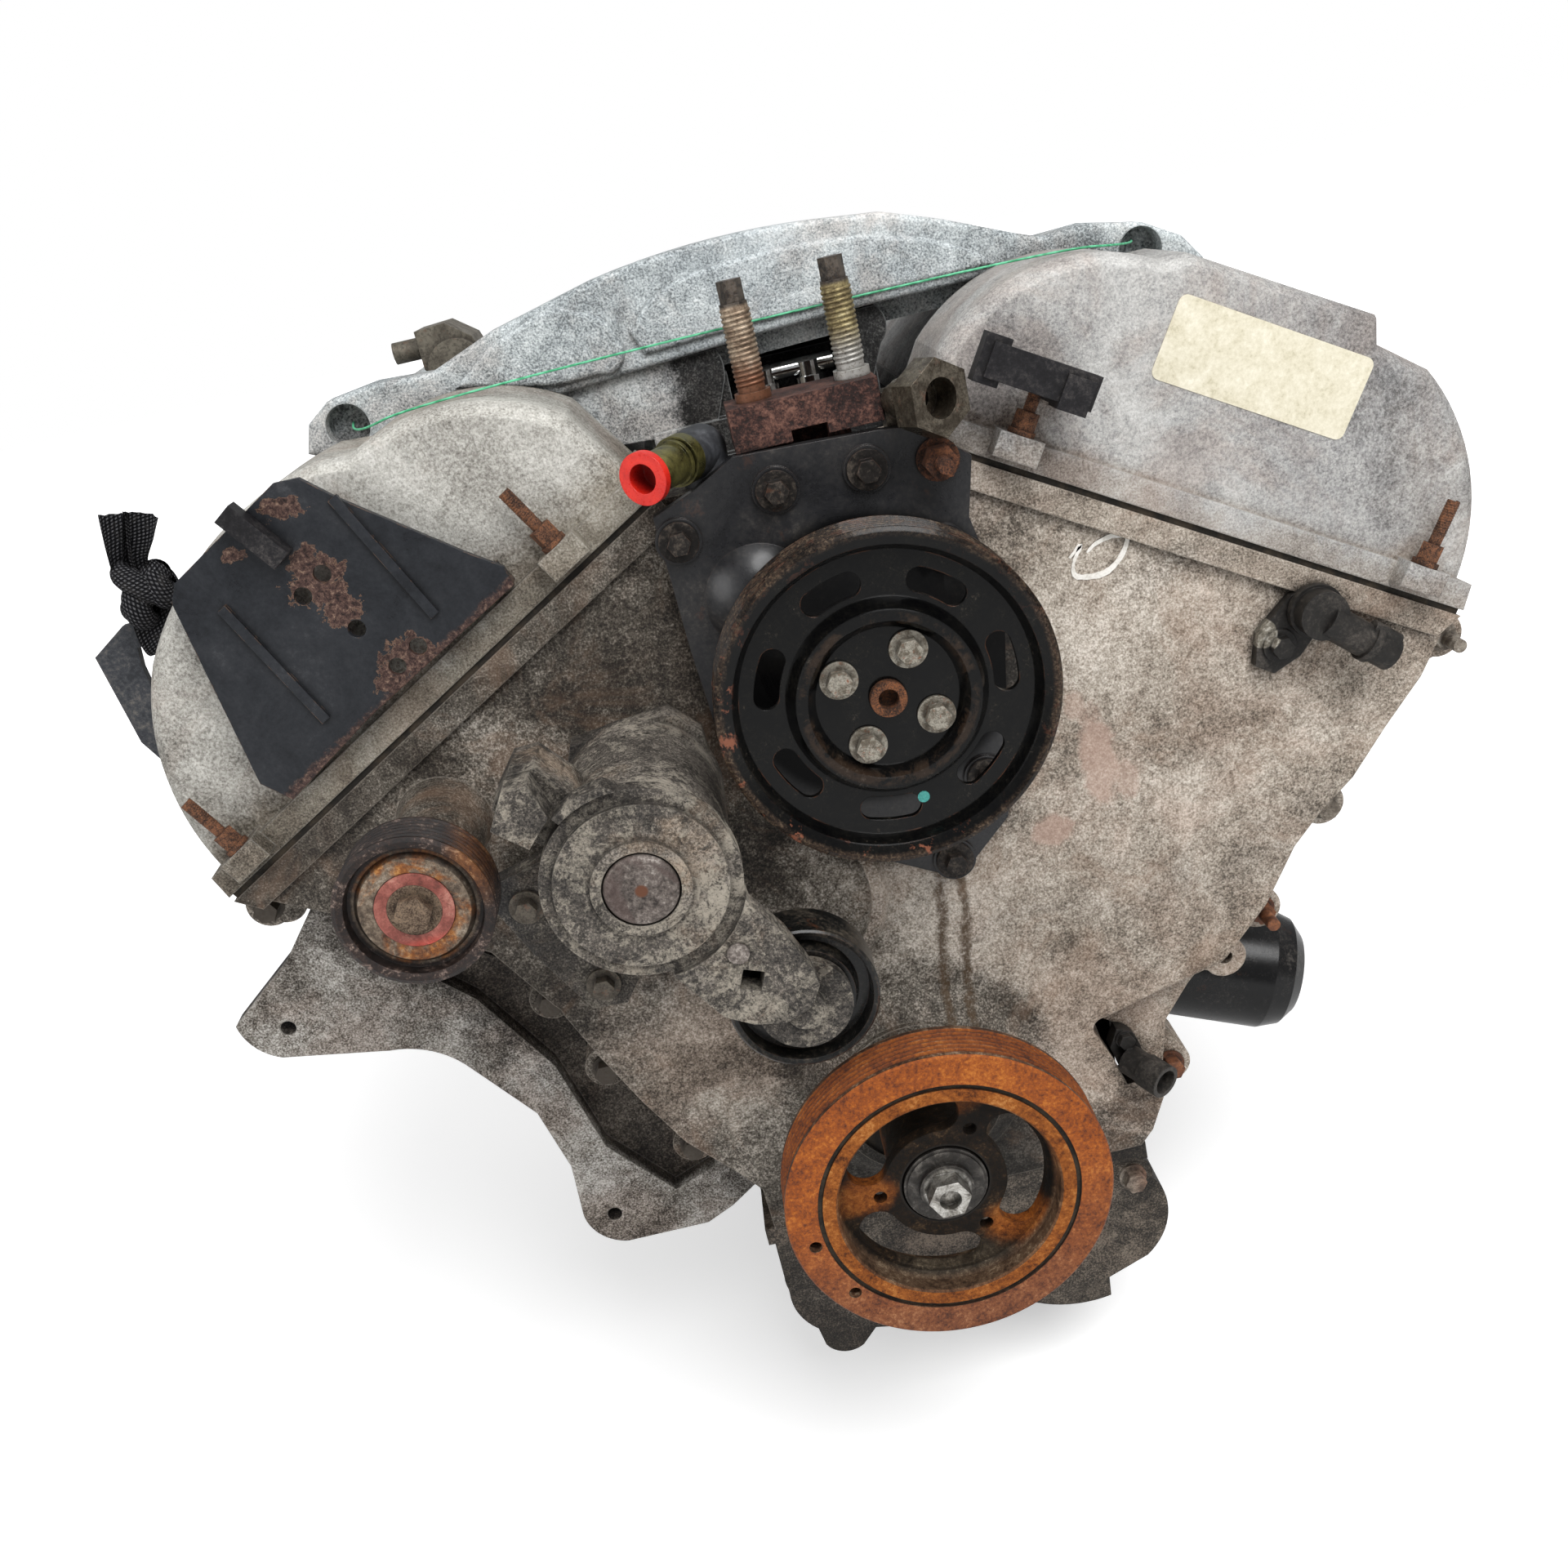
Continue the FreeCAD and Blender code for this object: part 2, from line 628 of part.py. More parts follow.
def make_camshaft(label, side, place):
    x, z = cam_axis(side, place)
    row = N["chain_row_near"] if side == LEFT else N["chain_row_far"]
    parts = [rod(x, z, N["cam_radius"], row - 2, N["block_rear"] - 20)]
    stations = cam_stations()
    bank_turn = 90 - side * N["bank_angle"]
    for k in range(3):
        middle = (stations[k] + stations[k + 1]) / 2
        for j in (-1, 1):
            parts.append(lobe(x, z, bank_turn + 40 + 120 * k * place, middle + 18 * j))
    shaft = joined(parts)
    half = N["chain_width"] / 2
    radius = N["cam_sprocket_radius"]
    wheel = rod(x, z, radius, row - half, row + half).cut(rod(x, z, N["cam_radius"] + N["fit_gap"], -500, -300))
    for k in range(5):
        angle = math.radians(72 * k)
        hx, hz = x + radius * 0.6 * math.cos(angle), z + radius * 0.6 * math.sin(angle)
        wheel = wheel.cut(rod(hx, hz, 8, row - 10, row + 10))
    screw = bolt(point(x, row - half, z), Vector(0, -1, 0), 17, 5, 15)
    screw = screw.cut(rod(x, z, N["cam_radius"] + N["fit_gap"], row - half, row))
    solid(label, group([shaft, wheel.fuse(screw)]))


def belt_line(circles, extra):
    """The outline of a loop drawn tight round circles listed counter clockwise."""
    count = len(circles)
    leave, arrive = [], []
    for i in range(count):
        (xa, za, ra), (xb, zb, rb) = circles[i], circles[(i + 1) % count]
        ra, rb = ra + extra, rb + extra
        length = math.hypot(xb - xa, zb - za)
        dx, dz = (xb - xa) / length, (zb - za) / length
        slope = (ra - rb) / length
        side = math.sqrt(1 - slope * slope)
        nx, nz = dx * slope + dz * side, dz * slope - dx * side
        leave.append((xa + ra * nx, za + ra * nz))
        arrive.append((xb + rb * nx, zb + rb * nz))
    outline = []
    for i in range(count):
        x, z, radius = circles[i]
        radius += extra
        start, end = arrive[i - 1], leave[i]
        first = math.atan2(start[1] - z, start[0] - x)
        last = math.atan2(end[1] - z, end[0] - x)
        while last < first:
            last += 2 * math.pi
        middle = (first + last) / 2
        outline += [start, (x + radius * math.cos(middle), z + radius * math.sin(middle), "arc"), end]
    return outline


def make_chain(label, side):
    row = N["chain_row_near"] if side == LEFT else N["chain_row_far"]
    intake, exhaust = cam_axis(side, -1), cam_axis(side, 1)
    radius = N["cam_sprocket_radius"]
    circles = [(0.0, 0.0, N["crank_sprocket_radius"]), exhaust + (radius,), intake + (radius,)]
    if side == LEFT:
        circles = [circles[0], circles[2], circles[1]]
    half = N["chain_width"] / 2 - 1
    outer = prism(belt_line(circles, N["soft_gap"] + N["chain_height"]), row - half, row + half)
    inner = prism(belt_line(circles, N["soft_gap"]), row - half - 1, row + half + 1)
    solid(label, outer.cut(inner))


def make_crank_sprocket():
    parts = []
    half = N["chain_width"] / 2
    near, far = N["chain_row_near"], N["chain_row_far"]
    parts.append(rod(0, 0, N["crank_sprocket_radius"], near - half, near + half))
    parts.append(rod(0, 0, N["crank_sprocket_radius"], far - half, far + half))
    parts.append(rod(0, 0, N["nose_radius"] + 1.8, far - half, N["block_front"] - 4))
    shape = joined(parts).cut(rod(0, 0, N["nose_radius"] + N["fit_gap"], -500, -300))
    solid("crank_sprocket", shape)


def make_chain_guides():
    """A fixed guide and a pivoted tensioner shoe beside each chain."""
    shapes = []
    for side in (LEFT, RIGHT):
        row = N["chain_row_near"] if side == LEFT else N["chain_row_far"]
        reach = N["chain_height"] + 2 * N["soft_gap"]
        for place, along in ((1, 1), (-1, -1)):
            cx, cz = cam_axis(side, place)
            radius_a = N["crank_sprocket_radius"] + reach
            radius_b = N["cam_sprocket_radius"] + reach
            length = math.hypot(cx, cz)
            dx, dz = cx / length, cz / length
            slope = (radius_a - radius_b) / length
            turn = math.sqrt(1 - slope * slope) * side * along
            nx, nz = dx * slope + dz * turn, dz * slope - dx * turn
            low, high = 0.14, 0.48
            if place == -1:
                low, high = 0.22, 0.55

            def at(share, extra):
                radius = radius_a + (radius_b - radius_a) * share + extra
                return cx * share + nx * radius, cz * share + nz * radius

            bulge = at((low + high) / 2, 12)
            outline = [at(low, 0), at(high, 0), at(high, 5), bulge + ("arc",), at(low, 5)]
            shapes.append(prism(outline, row - 5, row + 5))
            px, pz = at((low + high) / 2, 6)
            shapes[-1] = shapes[-1].fuse(rod(px, pz, 5, row, N["block_front"])).removeSplitter()
    solid("chain_guides", group(shapes))


# Cylinder heads and valve covers.

HEAD_OUTLINE = [(-62.0, "deck"), (-66.0, "swell"), (-92.0, "shoulder"), (-92.0, "joint"),
                (150.0, "joint"), (150.0, "shoulder"), (104.0, "swell"), (72.0, "deck")]


def head_level(name):
    deck, joint = N["deck_height"], N["joint_height"] - N["gasket_thickness"] / 2
    return {"deck": deck, "swell": deck + 58, "shoulder": joint - 30, "joint": joint}[name]


PORT_RADIUS, PORT_DEPTH = 17.0, 22.0


def make_head(label, side):
    outline = [(w, head_level(level)) for w, level in HEAD_OUTLINE]
    shape = prism(banked(side, outline), N["block_front"], N["block_rear"])
    stations = cam_stations()
    joint, axis_v = N["joint_height"], N["cam_height"]
    trough = [(-78.0, joint - 28), (-78.0, joint + 5), (136.0, joint + 5), (136.0, joint - 28)]
    cavity = prism(banked(side, trough), N["block_front"] + 10, N["block_rear"] - 8)
    shape = shape.cut(cavity)
    saddle = [(-78.0, joint - 30), (-78.0, joint - 10), (-56.0, axis_v), (118.0, axis_v), (136.0, joint - 10),
              (136.0, joint - 30)]
    for k, y in enumerate(stations):
        low, high = y - 8, y + 8
        if k == 0:
            low = N["block_front"]
        shape = shape.fuse(prism(banked(side, saddle), low, high))
    for place in (-1, 1):
        x, z = cam_axis(side, place)
        shape = shape.cut(rod(x, z, N["cam_radius"] + N["fit_gap"], N["block_front"] - 1, N["block_rear"] - 8))
    out = Vector(side * COS, 0, -SIN)
    for y in exhaust_ports():
        x, z = bank_point(side, 150.0, 262.0)
        start = point(x, y, z) + out * 5
        port = Part.makeCylinder(PORT_RADIUS, 80, start - out * 80, out)
        face_x, face_z = bank_point(side, 104.0 - PORT_DEPTH, 262.0)
        keep_out = Part.makeCylinder(PORT_RADIUS + 2, 80, point(face_x, y, face_z) - out * 80, out)
        shape = shape.cut(port.cut(keep_out))
    solid(label, shape.removeSplitter())


def exhaust_ports():
    mains = main_bearings()
    return [(mains[k] + mains[k + 1]) / 2 for k in range(3)]


def make_cam_caps():
    shapes = []
    top = N["cam_height"] + N["cam_radius"] + 9
    half = N["cam_radius"] + 11
    for side in (LEFT, RIGHT):
        for place in (-1, 1):
            x, z = cam_axis(side, place)
            middle = N["cam_middle"] + place * N["cam_spacing"] / 2
            outline = [(middle - half, N["cam_height"]), (middle - half, N["cam_height"] + 9),
                       (middle - 15, top), (middle + 15, top), (middle + half, N["cam_height"] + 9),
                       (middle + half, N["cam_height"])]
            for y in cam_stations():
                cap = prism(banked(side, outline), y - 8, y + 8)
                shapes.append(cap.cut(rod(x, z, N["cam_radius"] + N["fit_gap"], y - 9, y + 9)))
    solid("cam_bearing_caps", group(shapes))


def dome_outline(side):
    """Front view of a valve cover, from its outboard end over the top."""
    outer, inner, top = N["dome_outer"], -N["dome_inner"], N["dome_top"]
    base = N["joint_height"] + N["gasket_thickness"] / 2
    if side == LEFT:
        return [(outer, base), (outer - 13, top - 68, "arc"), (112.0, top - 17), (48.0, top + 2, "arc"),
                (-16.0, top - 5), (-30.0, top - 14), (-84.0, top - 32, "arc"), (inner + 4, top - 68),
                (inner, base)]
    return [(outer, base), (outer - 13, top - 66, "arc"), (110.0, top - 20), (80.0, top - 17), (74.0, top - 5),
            (-24.0, top - 7), (-36.0, top - 14), (-90.0, top - 35, "arc"), (inner, base + 38), (inner, base)]


def make_valve_cover(label, side):
    outline = dome_outline(side)
    centre = (26.0, N["joint_height"] + N["gasket_thickness"] / 2)
    front, wall = COVER_FRONT, N["valve_cover_wall"]
    recess, bevel = 5.0, 9.0
    shapes = [prism(banked(side, outline), front + recess + bevel, front + N["dome_depth"])]
    steps = ((1.0, recess + bevel), (0.985, recess + 4.0), (0.955, recess))
    for (big, y_big), (small, y_small) in zip(steps, steps[1:]):
        lower = wire_at(banked(side, shrunk(outline, big, centre)), front + y_big)
        upper = wire_at(banked(side, shrunk(outline, small, centre)), front + y_small)
        shapes.append(Part.makeLoft([lower, upper], True))
    base = centre[1]
    for w in COVER_STUDS[side]:
        ledge = [(w - 11, base + 3), (w - 11, base + 15), (w + 11, base + 15), (w + 11, base + 3)]
        shapes.append(prism(banked(side, ledge), front - 12, front + 6))
    rail = [(N["dome_outer"] + 3, base), (N["dome_outer"] + 1, base + 13), (-N["dome_inner"] - 1, base + 13),
            (-N["dome_inner"] - 3, base)]
    shapes.append(prism(banked(side, rail), front, front + N["dome_depth"]))
    body_top = N["body_top"]
    body = [(152.0, base), (150.0, base + 22), (122.0, body_top - 4), (112.0, body_top), (-58.0, body_top),
            (-72.0, body_top - 8), (-86.0, base + 20), (-88.0, base)]
    shapes.append(prism(banked(side, body), front + 30, N["block_rear"] - 2))
    lip = [(156.0, base), (156.0, base + 9), (-92.0, base + 9), (-92.0, base)]
    shapes.append(prism(banked(side, lip), front + N["dome_depth"] - 1, N["block_rear"]))
    inner = [(p[0], p[1]) + tuple(p[2:]) for p in shrunk(outline, 0.95, centre)]
    inner = [(p[0], p[1] - (2 if abs(p[1] - base) < 1e-6 else 0)) + tuple(p[2:]) for p in inner]
    hollow = prism(banked(side, inner), front + recess + 6, front + N["dome_depth"] - wall)
    inside = [(148.0 - 2, base - 2), (146.0, base + 20), (118.0, body_top - 4 - wall), (110.0, body_top - wall),
              (-56.0, body_top - wall), (-68.0, body_top - 10 - wall), (-82.0, base + 18), (-82.0, base - 2)]
    hollow = hollow.fuse(prism(banked(side, inside), front + 30, N["block_rear"] - 2 - wall))
    shape = joined(shapes)
    if side == RIGHT:
        x, z = bank_point(side, 40.0, body_top)
        neck_axis = Vector(SIN * side, 0, COS)
        neck = Part.makeCylinder(N["filler_radius"] - 5, 30, point(x, FILLER_Y, z) - neck_axis * 20, neck_axis)
        shape = shape.fuse(neck)
        bore = Part.makeCylinder(N["filler_radius"] - 9, 60, point(x, FILLER_Y, z) - neck_axis * 40, neck_axis)
        hollow = hollow.fuse(bore)
    for k in range(3):
        y = exhaust_ports()[k]
        x, z = bank_point(side, N["cam_middle"], body_top - 8)
        axis = Vector(SIN * side, 0, COS)
        shape = shape.fuse(Part.makeCylinder(17, 11, point(x, y, z), axis)) if y < FILLER_Y - 60 or side == LEFT \
            else shape
    solid(label, shape.cut(hollow).removeSplitter())


FILLER_Y = -250.0


def make_filler_cap():
    side = RIGHT
    x, z = bank_point(side, 40.0, N["body_top"])
    axis = Vector(SIN * side, 0, COS)
    seat = point(x, FILLER_Y, z) + axis * (10 + N["soft_gap"])
    cap = Part.makeCylinder(N["filler_radius"], 12, seat, axis)
    plug = Part.makeCylinder(N["filler_radius"] - 9 - N["soft_gap"], 22, seat - axis * 20, axis)
    grip = Part.makeBox(2 * N["filler_radius"] - 8, 8, 9, Vector(-N["filler_radius"] + 4, -4, 0))
    grip.Placement = Placement(seat + axis * 12, Rotation(Vector(0, 0, 1), axis))
    grip.Placement = Placement(seat + axis * 11, Rotation(Vector(0, 0, 1), axis))
    solid("oil_filler_cap", cap.fuse([plug, grip]).removeSplitter())


def make_gaskets():
    shapes = []
    half = N["gasket_thickness"] / 2
    joint = N["joint_height"]
    for side in (LEFT, RIGHT):
        front_part = [(N["dome_outer"] + 1, joint - half), (N["dome_outer"] + 1, joint + half),
                      (-N["dome_inner"] - 1, joint + half), (-N["dome_inner"] - 1, joint - half)]
        rear_part = [(154.0, joint - half), (154.0, joint + half), (-90.0, joint + half), (-90.0, joint - half)]
        whole = prism(banked(side, front_part), COVER_FRONT + 1.5, COVER_FRONT + N["dome_depth"] - 1)
        whole = whole.fuse(prism(banked(side, rear_part), COVER_FRONT + N["dome_depth"] - 2, N["block_rear"] - 1))
        hole_front = [(162.0, joint - 5), (162.0, joint + 5), (-110.0, joint + 5), (-110.0, joint - 5)]
        hole_rear = [(142.0, joint - 5), (142.0, joint + 5), (-80.0, joint + 5), (-80.0, joint - 5)]
        whole = whole.cut(prism(banked(side, hole_front), COVER_FRONT + 9, N["block_front"] - 0.5))
        whole = whole.cut(prism(banked(side, hole_rear), N["block_front"] - 1, N["block_rear"] - 9))
        shapes.append(whole.removeSplitter())
    solid("valve_cover_gaskets", group(shapes))


# Timing cover.

COVER_RIGHT = [(295.0, 169.0), (275.0, 146.0), (256.0, 122.0), (237.0, 106.0), (222.0, 90.0), (204.0, 60.0),
               (180.0, 34.0), (160.0, 14.0), (145.0, -6.0), (140.0, -34.0), (126.0, -66.0), (118.0, -75.0)]
COVER_LEFT = [(-96.0, -75.0), (-97.0, -46.0), (-108.0, -31.0), (-131.0, -4.0), (-148.0, 28.0), (-163.0, 61.0),
              (-176.0, 94.0), (-201.0, 136.0), (-273.0, 178.0)]


def cover_outline():
    """Front view of the timing cover, clockwise from the outboard end of the left joint."""
    level = N["joint_height"] - N["gasket_thickness"] / 2
    top = [bank_point(LEFT, N["dome_outer"], level), bank_point(LEFT, -N["dome_inner"], level),
           bank_point(RIGHT, -N["dome_inner"], level), bank_point(RIGHT, N["dome_outer"], level)]
    return top + COVER_RIGHT + COVER_LEFT


COVER_BOSSES = [(247.0, 100.0), (207.0, 46.0), (185.0, 20.0), (146.0, -40.0), (-183.0, 90.0), (-165.0, 41.0),
                (-130.0, -20.0), (-309.0, 181.0), (316.0, 180.0)]
EMPTY_BOSS = 2
STUD_BOSSES = (1, 8)
LEDGE = [(188.0, 40.0), (176.0, 31.0), (137.0, 21.5), (109.0, 13.5), (103.0, 11.0, "arc"), (103.5, 2.0),
         (110.5, -15.0), (115.5, -32.5), (131.0, -31.0), (139.5, -52.0), (150.0, -50.0), (170.0, -20.0),
         (200.0, 20.0)]
LEDGE_DEPTH = 14.0


def make_timing_cover():
    outline = cover_outline()
    wall = N["cover_wall"]
    recess = 4.0
    rear = N["block_front"]
    face = Part.Face(wire_at(outline, COVER_FRONT + recess))
    body = face.extrude(Vector(0, rear - COVER_FRONT - recess, 0))
    inside = Part.Face(wire_at(outline, COVER_FRONT + recess + wall)).makeOffset2D(-wall)
    hollow = inside.extrude(Vector(0, rear - COVER_FRONT - recess - wall + 1, 0))
    level = N["joint_height"] - N["gasket_thickness"] / 2
    extras = []
    for side in (LEFT, RIGHT):
        rail = [(N["dome_outer"] + 3, level), (-N["dome_inner"] - 2, level), (-N["dome_inner"] - 2, level - 13),
                (N["dome_outer"] - 4, level - 13)]
        extras.append(prism(banked(side, rail), COVER_FRONT, rear - 1))
    for x, z in COVER_BOSSES:
        extras.append(rod(x, z, 12.0, COVER_FRONT + 26, rear))
        inward = Vector(-x, 0, 180.0 - z).normalize() * 8
        extras.append(rod(x + inward.x, z + inward.z, 12.0, COVER_FRONT + 26, rear))
    seal_boss = rod(0, 0, 46.0, COVER_FRONT - 12, COVER_FRONT + recess + 1)
    seal_step = Part.makeCone(62, 46, 12, point(0, COVER_FRONT + recess, 0), Vector(0, -1, 0))
    idler_boss = Part.makeCone(24, 15, BELT_BACK_GAP, point(N["idler_x"], COVER_FRONT + recess, N["idler_z"]),
                               Vector(0, -1, 0))
    extras += [seal_boss, seal_step, idler_boss]
    pump_boss = rod(N["pump_x"], N["pump_z"], 62, COVER_FRONT, COVER_FRONT + recess + 1)
    roller = (N["roller_x"], N["roller_z"])
    roller_ring = Part.makeCone(54, 50, 7, point(roller[0], COVER_FRONT + recess, roller[1]), Vector(0, -1, 0))
    roller_ring = roller_ring.cut(rod(roller[0], roller[1], 44, COVER_FRONT - 4, COVER_FRONT + recess + 1))
    roller_ring = roller_ring.cut(box(-120, 40, COVER_FRONT - 9, COVER_FRONT + 9, roller[1] + 20, roller[1] + 80))
    roller_ring = roller_ring.cut(box(-120, roller[0] - 16, COVER_FRONT - 9, COVER_FRONT + 9, roller[1] - 6, 200))
    extras += [pump_boss, roller_ring]
    ledge_back = COVER_FRONT + recess + LEDGE_DEPTH
    floor = Part.Face(wire_at(LEDGE, COVER_FRONT)).makeOffset2D(wall).extrude(Vector(0, 60, 0))
    floor = floor.common(box(0, 400, COVER_FRONT, ledge_back + wall, -200, 200))
    shape = body.cut(hollow.cut(floor)).cut(prism(LEDGE, COVER_FRONT - 1, ledge_back)).multiFuse(extras)
    for side in (LEFT, RIGHT):
        opening = [(N["dome_outer"] - 9, level + 1), (-N["dome_inner"] + 9, level + 1),
                   (-N["dome_inner"] + 9, level - 20), (N["dome_outer"] - 9, level - 20)]
        shape = shape.cut(prism(banked(side, opening), COVER_FRONT + 9, rear + 1))
    bores = [rod(0, 0, 40 + N["fit_gap"], COVER_FRONT - 13, COVER_FRONT - 1),
             rod(0, 0, 37, COVER_FRONT - 2, COVER_FRONT + 12),
             rod(N["pump_x"], N["pump_z"], 40, COVER_FRONT - 2, COVER_FRONT + 12)]
    crank_x, crank_z = CRANK_SENSOR
    slot = [(crank_x - 14, crank_z + 23), (crank_x - 2, crank_z + 14), (crank_x + 8, crank_z - 14),
            (crank_x - 3, crank_z - 18), (crank_x - 9, crank_z - 2)]
    bores.append(prism(slot, ledge_back - 1, ledge_back + wall + 1))
    for x, z in COVER_BOSSES:
        bores.append(rod(x, z, 8.5, COVER_FRONT - 2, COVER_FRONT + 26))
        bores.append(rod(x, z, 4.2, COVER_FRONT + 25, rear + 1))
    for cutter in bores:
        shape = shape.cut(cutter)
    return solid("timing_cover", shape.removeSplitter()).Shape


BELT_BACK_GAP = 60.0
CRANK_SENSOR = (118.0, -14.0)


def make_cover_bolts():
    """Perimeter bolts, seated on the bosses of the timing cover."""
    shapes = []
    forward = Vector(0, -1, 0)
    for i, (x, z) in enumerate(COVER_BOSSES):
        if i == EMPTY_BOSS:
            continue
        shape = bolt(point(x, COVER_FRONT + 26, z), forward, 11, 7, 8, 30)
        if i in STUD_BOSSES:
            shape = shape.fuse(rod(x, z, 3.5, COVER_FRONT + 4, COVER_FRONT + 20))
        shapes.append(shape.removeSplitter())
    shapes.append(bolt(point(PAN_BOLT[0], COVER_FRONT + 8, PAN_BOLT[1]), forward, 11, 7, 8, 30))
    solid("timing_cover_bolts", group(shapes))


COVER_STUDS = {LEFT: (-72.0, 147.0), RIGHT: (-73.0, 141.0)}


def make_cover_studs():
    """Valve cover studs: hexagon, collar and a thin threaded end, along the bank axis."""
    shapes = []
    base = N["joint_height"] + N["gasket_thickness"] / 2 + 15
    for side in (LEFT, RIGHT):
        axis = Vector(SIN * side, 0, COS)
        for w in COVER_STUDS[side]:
            x, z = bank_point(side, w, base)
            start = point(x, COVER_FRONT - 5, z)
            shape = Part.makeCylinder(6.5, 2.5, start, axis).fuse(hexagon(10, 9, start + axis * 2, axis))
            shape = shape.fuse(Part.makeCylinder(3, 28, start + axis * 5, axis))
            shapes.append(shape.removeSplitter())
    solid("valve_cover_studs", group(shapes))


# Water pump.

PUMP_PLATE = [(-64.0, 338.0), (-43.0, 346.0), (-22.0, 357.0), (44.0, 354.0), (63.0, 352.0), (86.0, 333.0),
              (80.0, 305.0), (90.0, 262.0), (82.0, 205.0), (74.0, 150.0), (44.0, 122.0), (8.0, 142.0),
              (-30.0, 178.0), (-59.0, 228.0), (-62.0, 272.0)]
PUMP_BOLTS = [(-6.0, 338.0), (37.0, 338.0), (-55.0, 325.0), (66.0, 294.0), (-48.0, 236.0), (66.0, 175.0),
              (43.0, 134.0)]


def make_pump_housing():
    x, z = N["pump_x"], N["pump_z"]
    back, face = COVER_FRONT, COVER_FRONT - 7
    plate = prism(PUMP_PLATE, face, back)
    cone = Part.makeCone(52, 30, 22, point(x, face, z), Vector(0, -1, 0))
    nose = rod(x, z, 21, BELT_Y + 12, face - 20)
    shape = plate.fuse([cone, nose])
    for bx, bz, rise in ((-24.0, 290.0, 12.0), (54.0, 262.0, 9.0), (34.0, 205.0, 9.0)):
        ball = Part.makeSphere(34, point(bx, face + 34 - rise, bz))
        shape = shape.fuse(ball.common(box(-200, 200, face - 30, face + 1, 0, 400)))
    for bx, bz in PUMP_BOLTS:
        shape = shape.fuse(rod(bx, bz, 11, face - 2, back))
    chamber = rod(x, z, 36, back - 16, back + 1)
    bore = rod(x, z, N["pump_shaft_radius"] + N["fit_gap"], BELT_Y, back + 1)
    solid("water_pump_housing", shape.cut(chamber).cut(bore).removeSplitter())
    bolts = [bolt(point(bx, face - 2, bz), Vector(0, -1, 0), 10, 6, 9.5) for bx, bz in PUMP_BOLTS]
    solid("water_pump_bolts", group(bolts))


def make_pump_pulley():
    front = BELT - S["belt_half"]
    back = BELT + S["belt_half"]
    web = front + 8
    hub = web - 1
    rim = S["pump_radius"]
    lip = S["pump_lip"]
    centre = (S["pump_x"], S["pump_z"])
    front_face = [(S["pump_shaft_radius"] + S["fit_gap"], hub), (31, hub), (35, front + 1), (40, front + 1),
                  (44, web), (lip - 2, web), (lip + 1, front + 2), (rim - 2, front)]
    back_face = [(rim - 6, back), (lip + 2, web + 9), (lip - 3, web + 3), (42.3, web + 3), (38.6, front + 4),
                 (36.4, front + 4), (32.5, hub + 3), (S["pump_shaft_radius"] + S["fit_gap"], hub + 3)]
    pulley = turned("pump_pulley", centre, front_face + grooved(rim, front + 1, back, 6) + back_face)

    def slot(sketch):
        add_ring_slot(sketch, N["slot_middle"] - N["slot_half"], N["slot_middle"] + N["slot_half"],
                      SLOT_PHASE, 9.0)

    def bolt_hole(sketch):
        angle = math.radians(BOLT_PHASE)
        radius = N["pump_pcd"] / 2
        sketch.addGeometry(Part.Circle(Vector(radius * math.cos(angle), radius * math.sin(angle), 0),
                                       Vector(0, 0, 1), 4.3), False)

    cut_through(pulley, "pulley_slots", slot, 7)
    cut_through(pulley, "pulley_bolt_holes", bolt_hole, 4)


SLOT_PHASE = 4.0
BOLT_PHASE = 57.0


def make_pump_rotor():
    x, z = N["pump_x"], N["pump_z"]
    hub_back = BELT_FRONT + 10
    shape = rod(x, z, N["pump_shaft_radius"], BELT_FRONT + 3, COVER_FRONT + 2)
    flange = rod(x, z, 29, hub_back, hub_back + 8)
    for k in range(4):
        angle = math.radians(BOLT_PHASE + 90 * k)
        radius = N["pump_pcd"] / 2
        flange = flange.cut(rod(x + radius * math.cos(angle), z + radius * math.sin(angle), 3.6,
                                hub_back - 1, hub_back + 9))
    dimple = rod(x, z, 4.5, BELT_FRONT, BELT_FRONT + 9)
    disc = rod(x, z, 33, COVER_FRONT - 3, COVER_FRONT)
    vanes = []
    for k in range(6):
        angle = 60 * k
        vane = box(10, 32, COVER_FRONT - 12, COVER_FRONT - 2, -1.5, 1.5)
        vane.rotate(Vector(0, 0, 0), Vector(0, 1, 0), angle)
        vane.translate(Vector(x, 0, z))
        vanes.append(vane)
    shape = shape.fuse([flange, disc] + vanes).cut(dimple)
    solid("pump_shaft", shape.removeSplitter())
    bolts = []
    for k in range(4):
        angle = math.radians(BOLT_PHASE + 90 * k)
        radius = N["pump_pcd"] / 2
        base = point(x + radius * math.cos(angle), BELT_FRONT + 7, z + radius * math.sin(angle))
        bolts.append(bolt(base, Vector(0, -1, 0), 10, 5.5, 8.4).fuse(
            Part.makeCylinder(3.4, 12, base + Vector(0, 12, 0), Vector(0, -1, 0))))
    solid("pump_pulley_bolts", group([one.removeSplitter() for one in bolts]))


# Idler and tensioner.

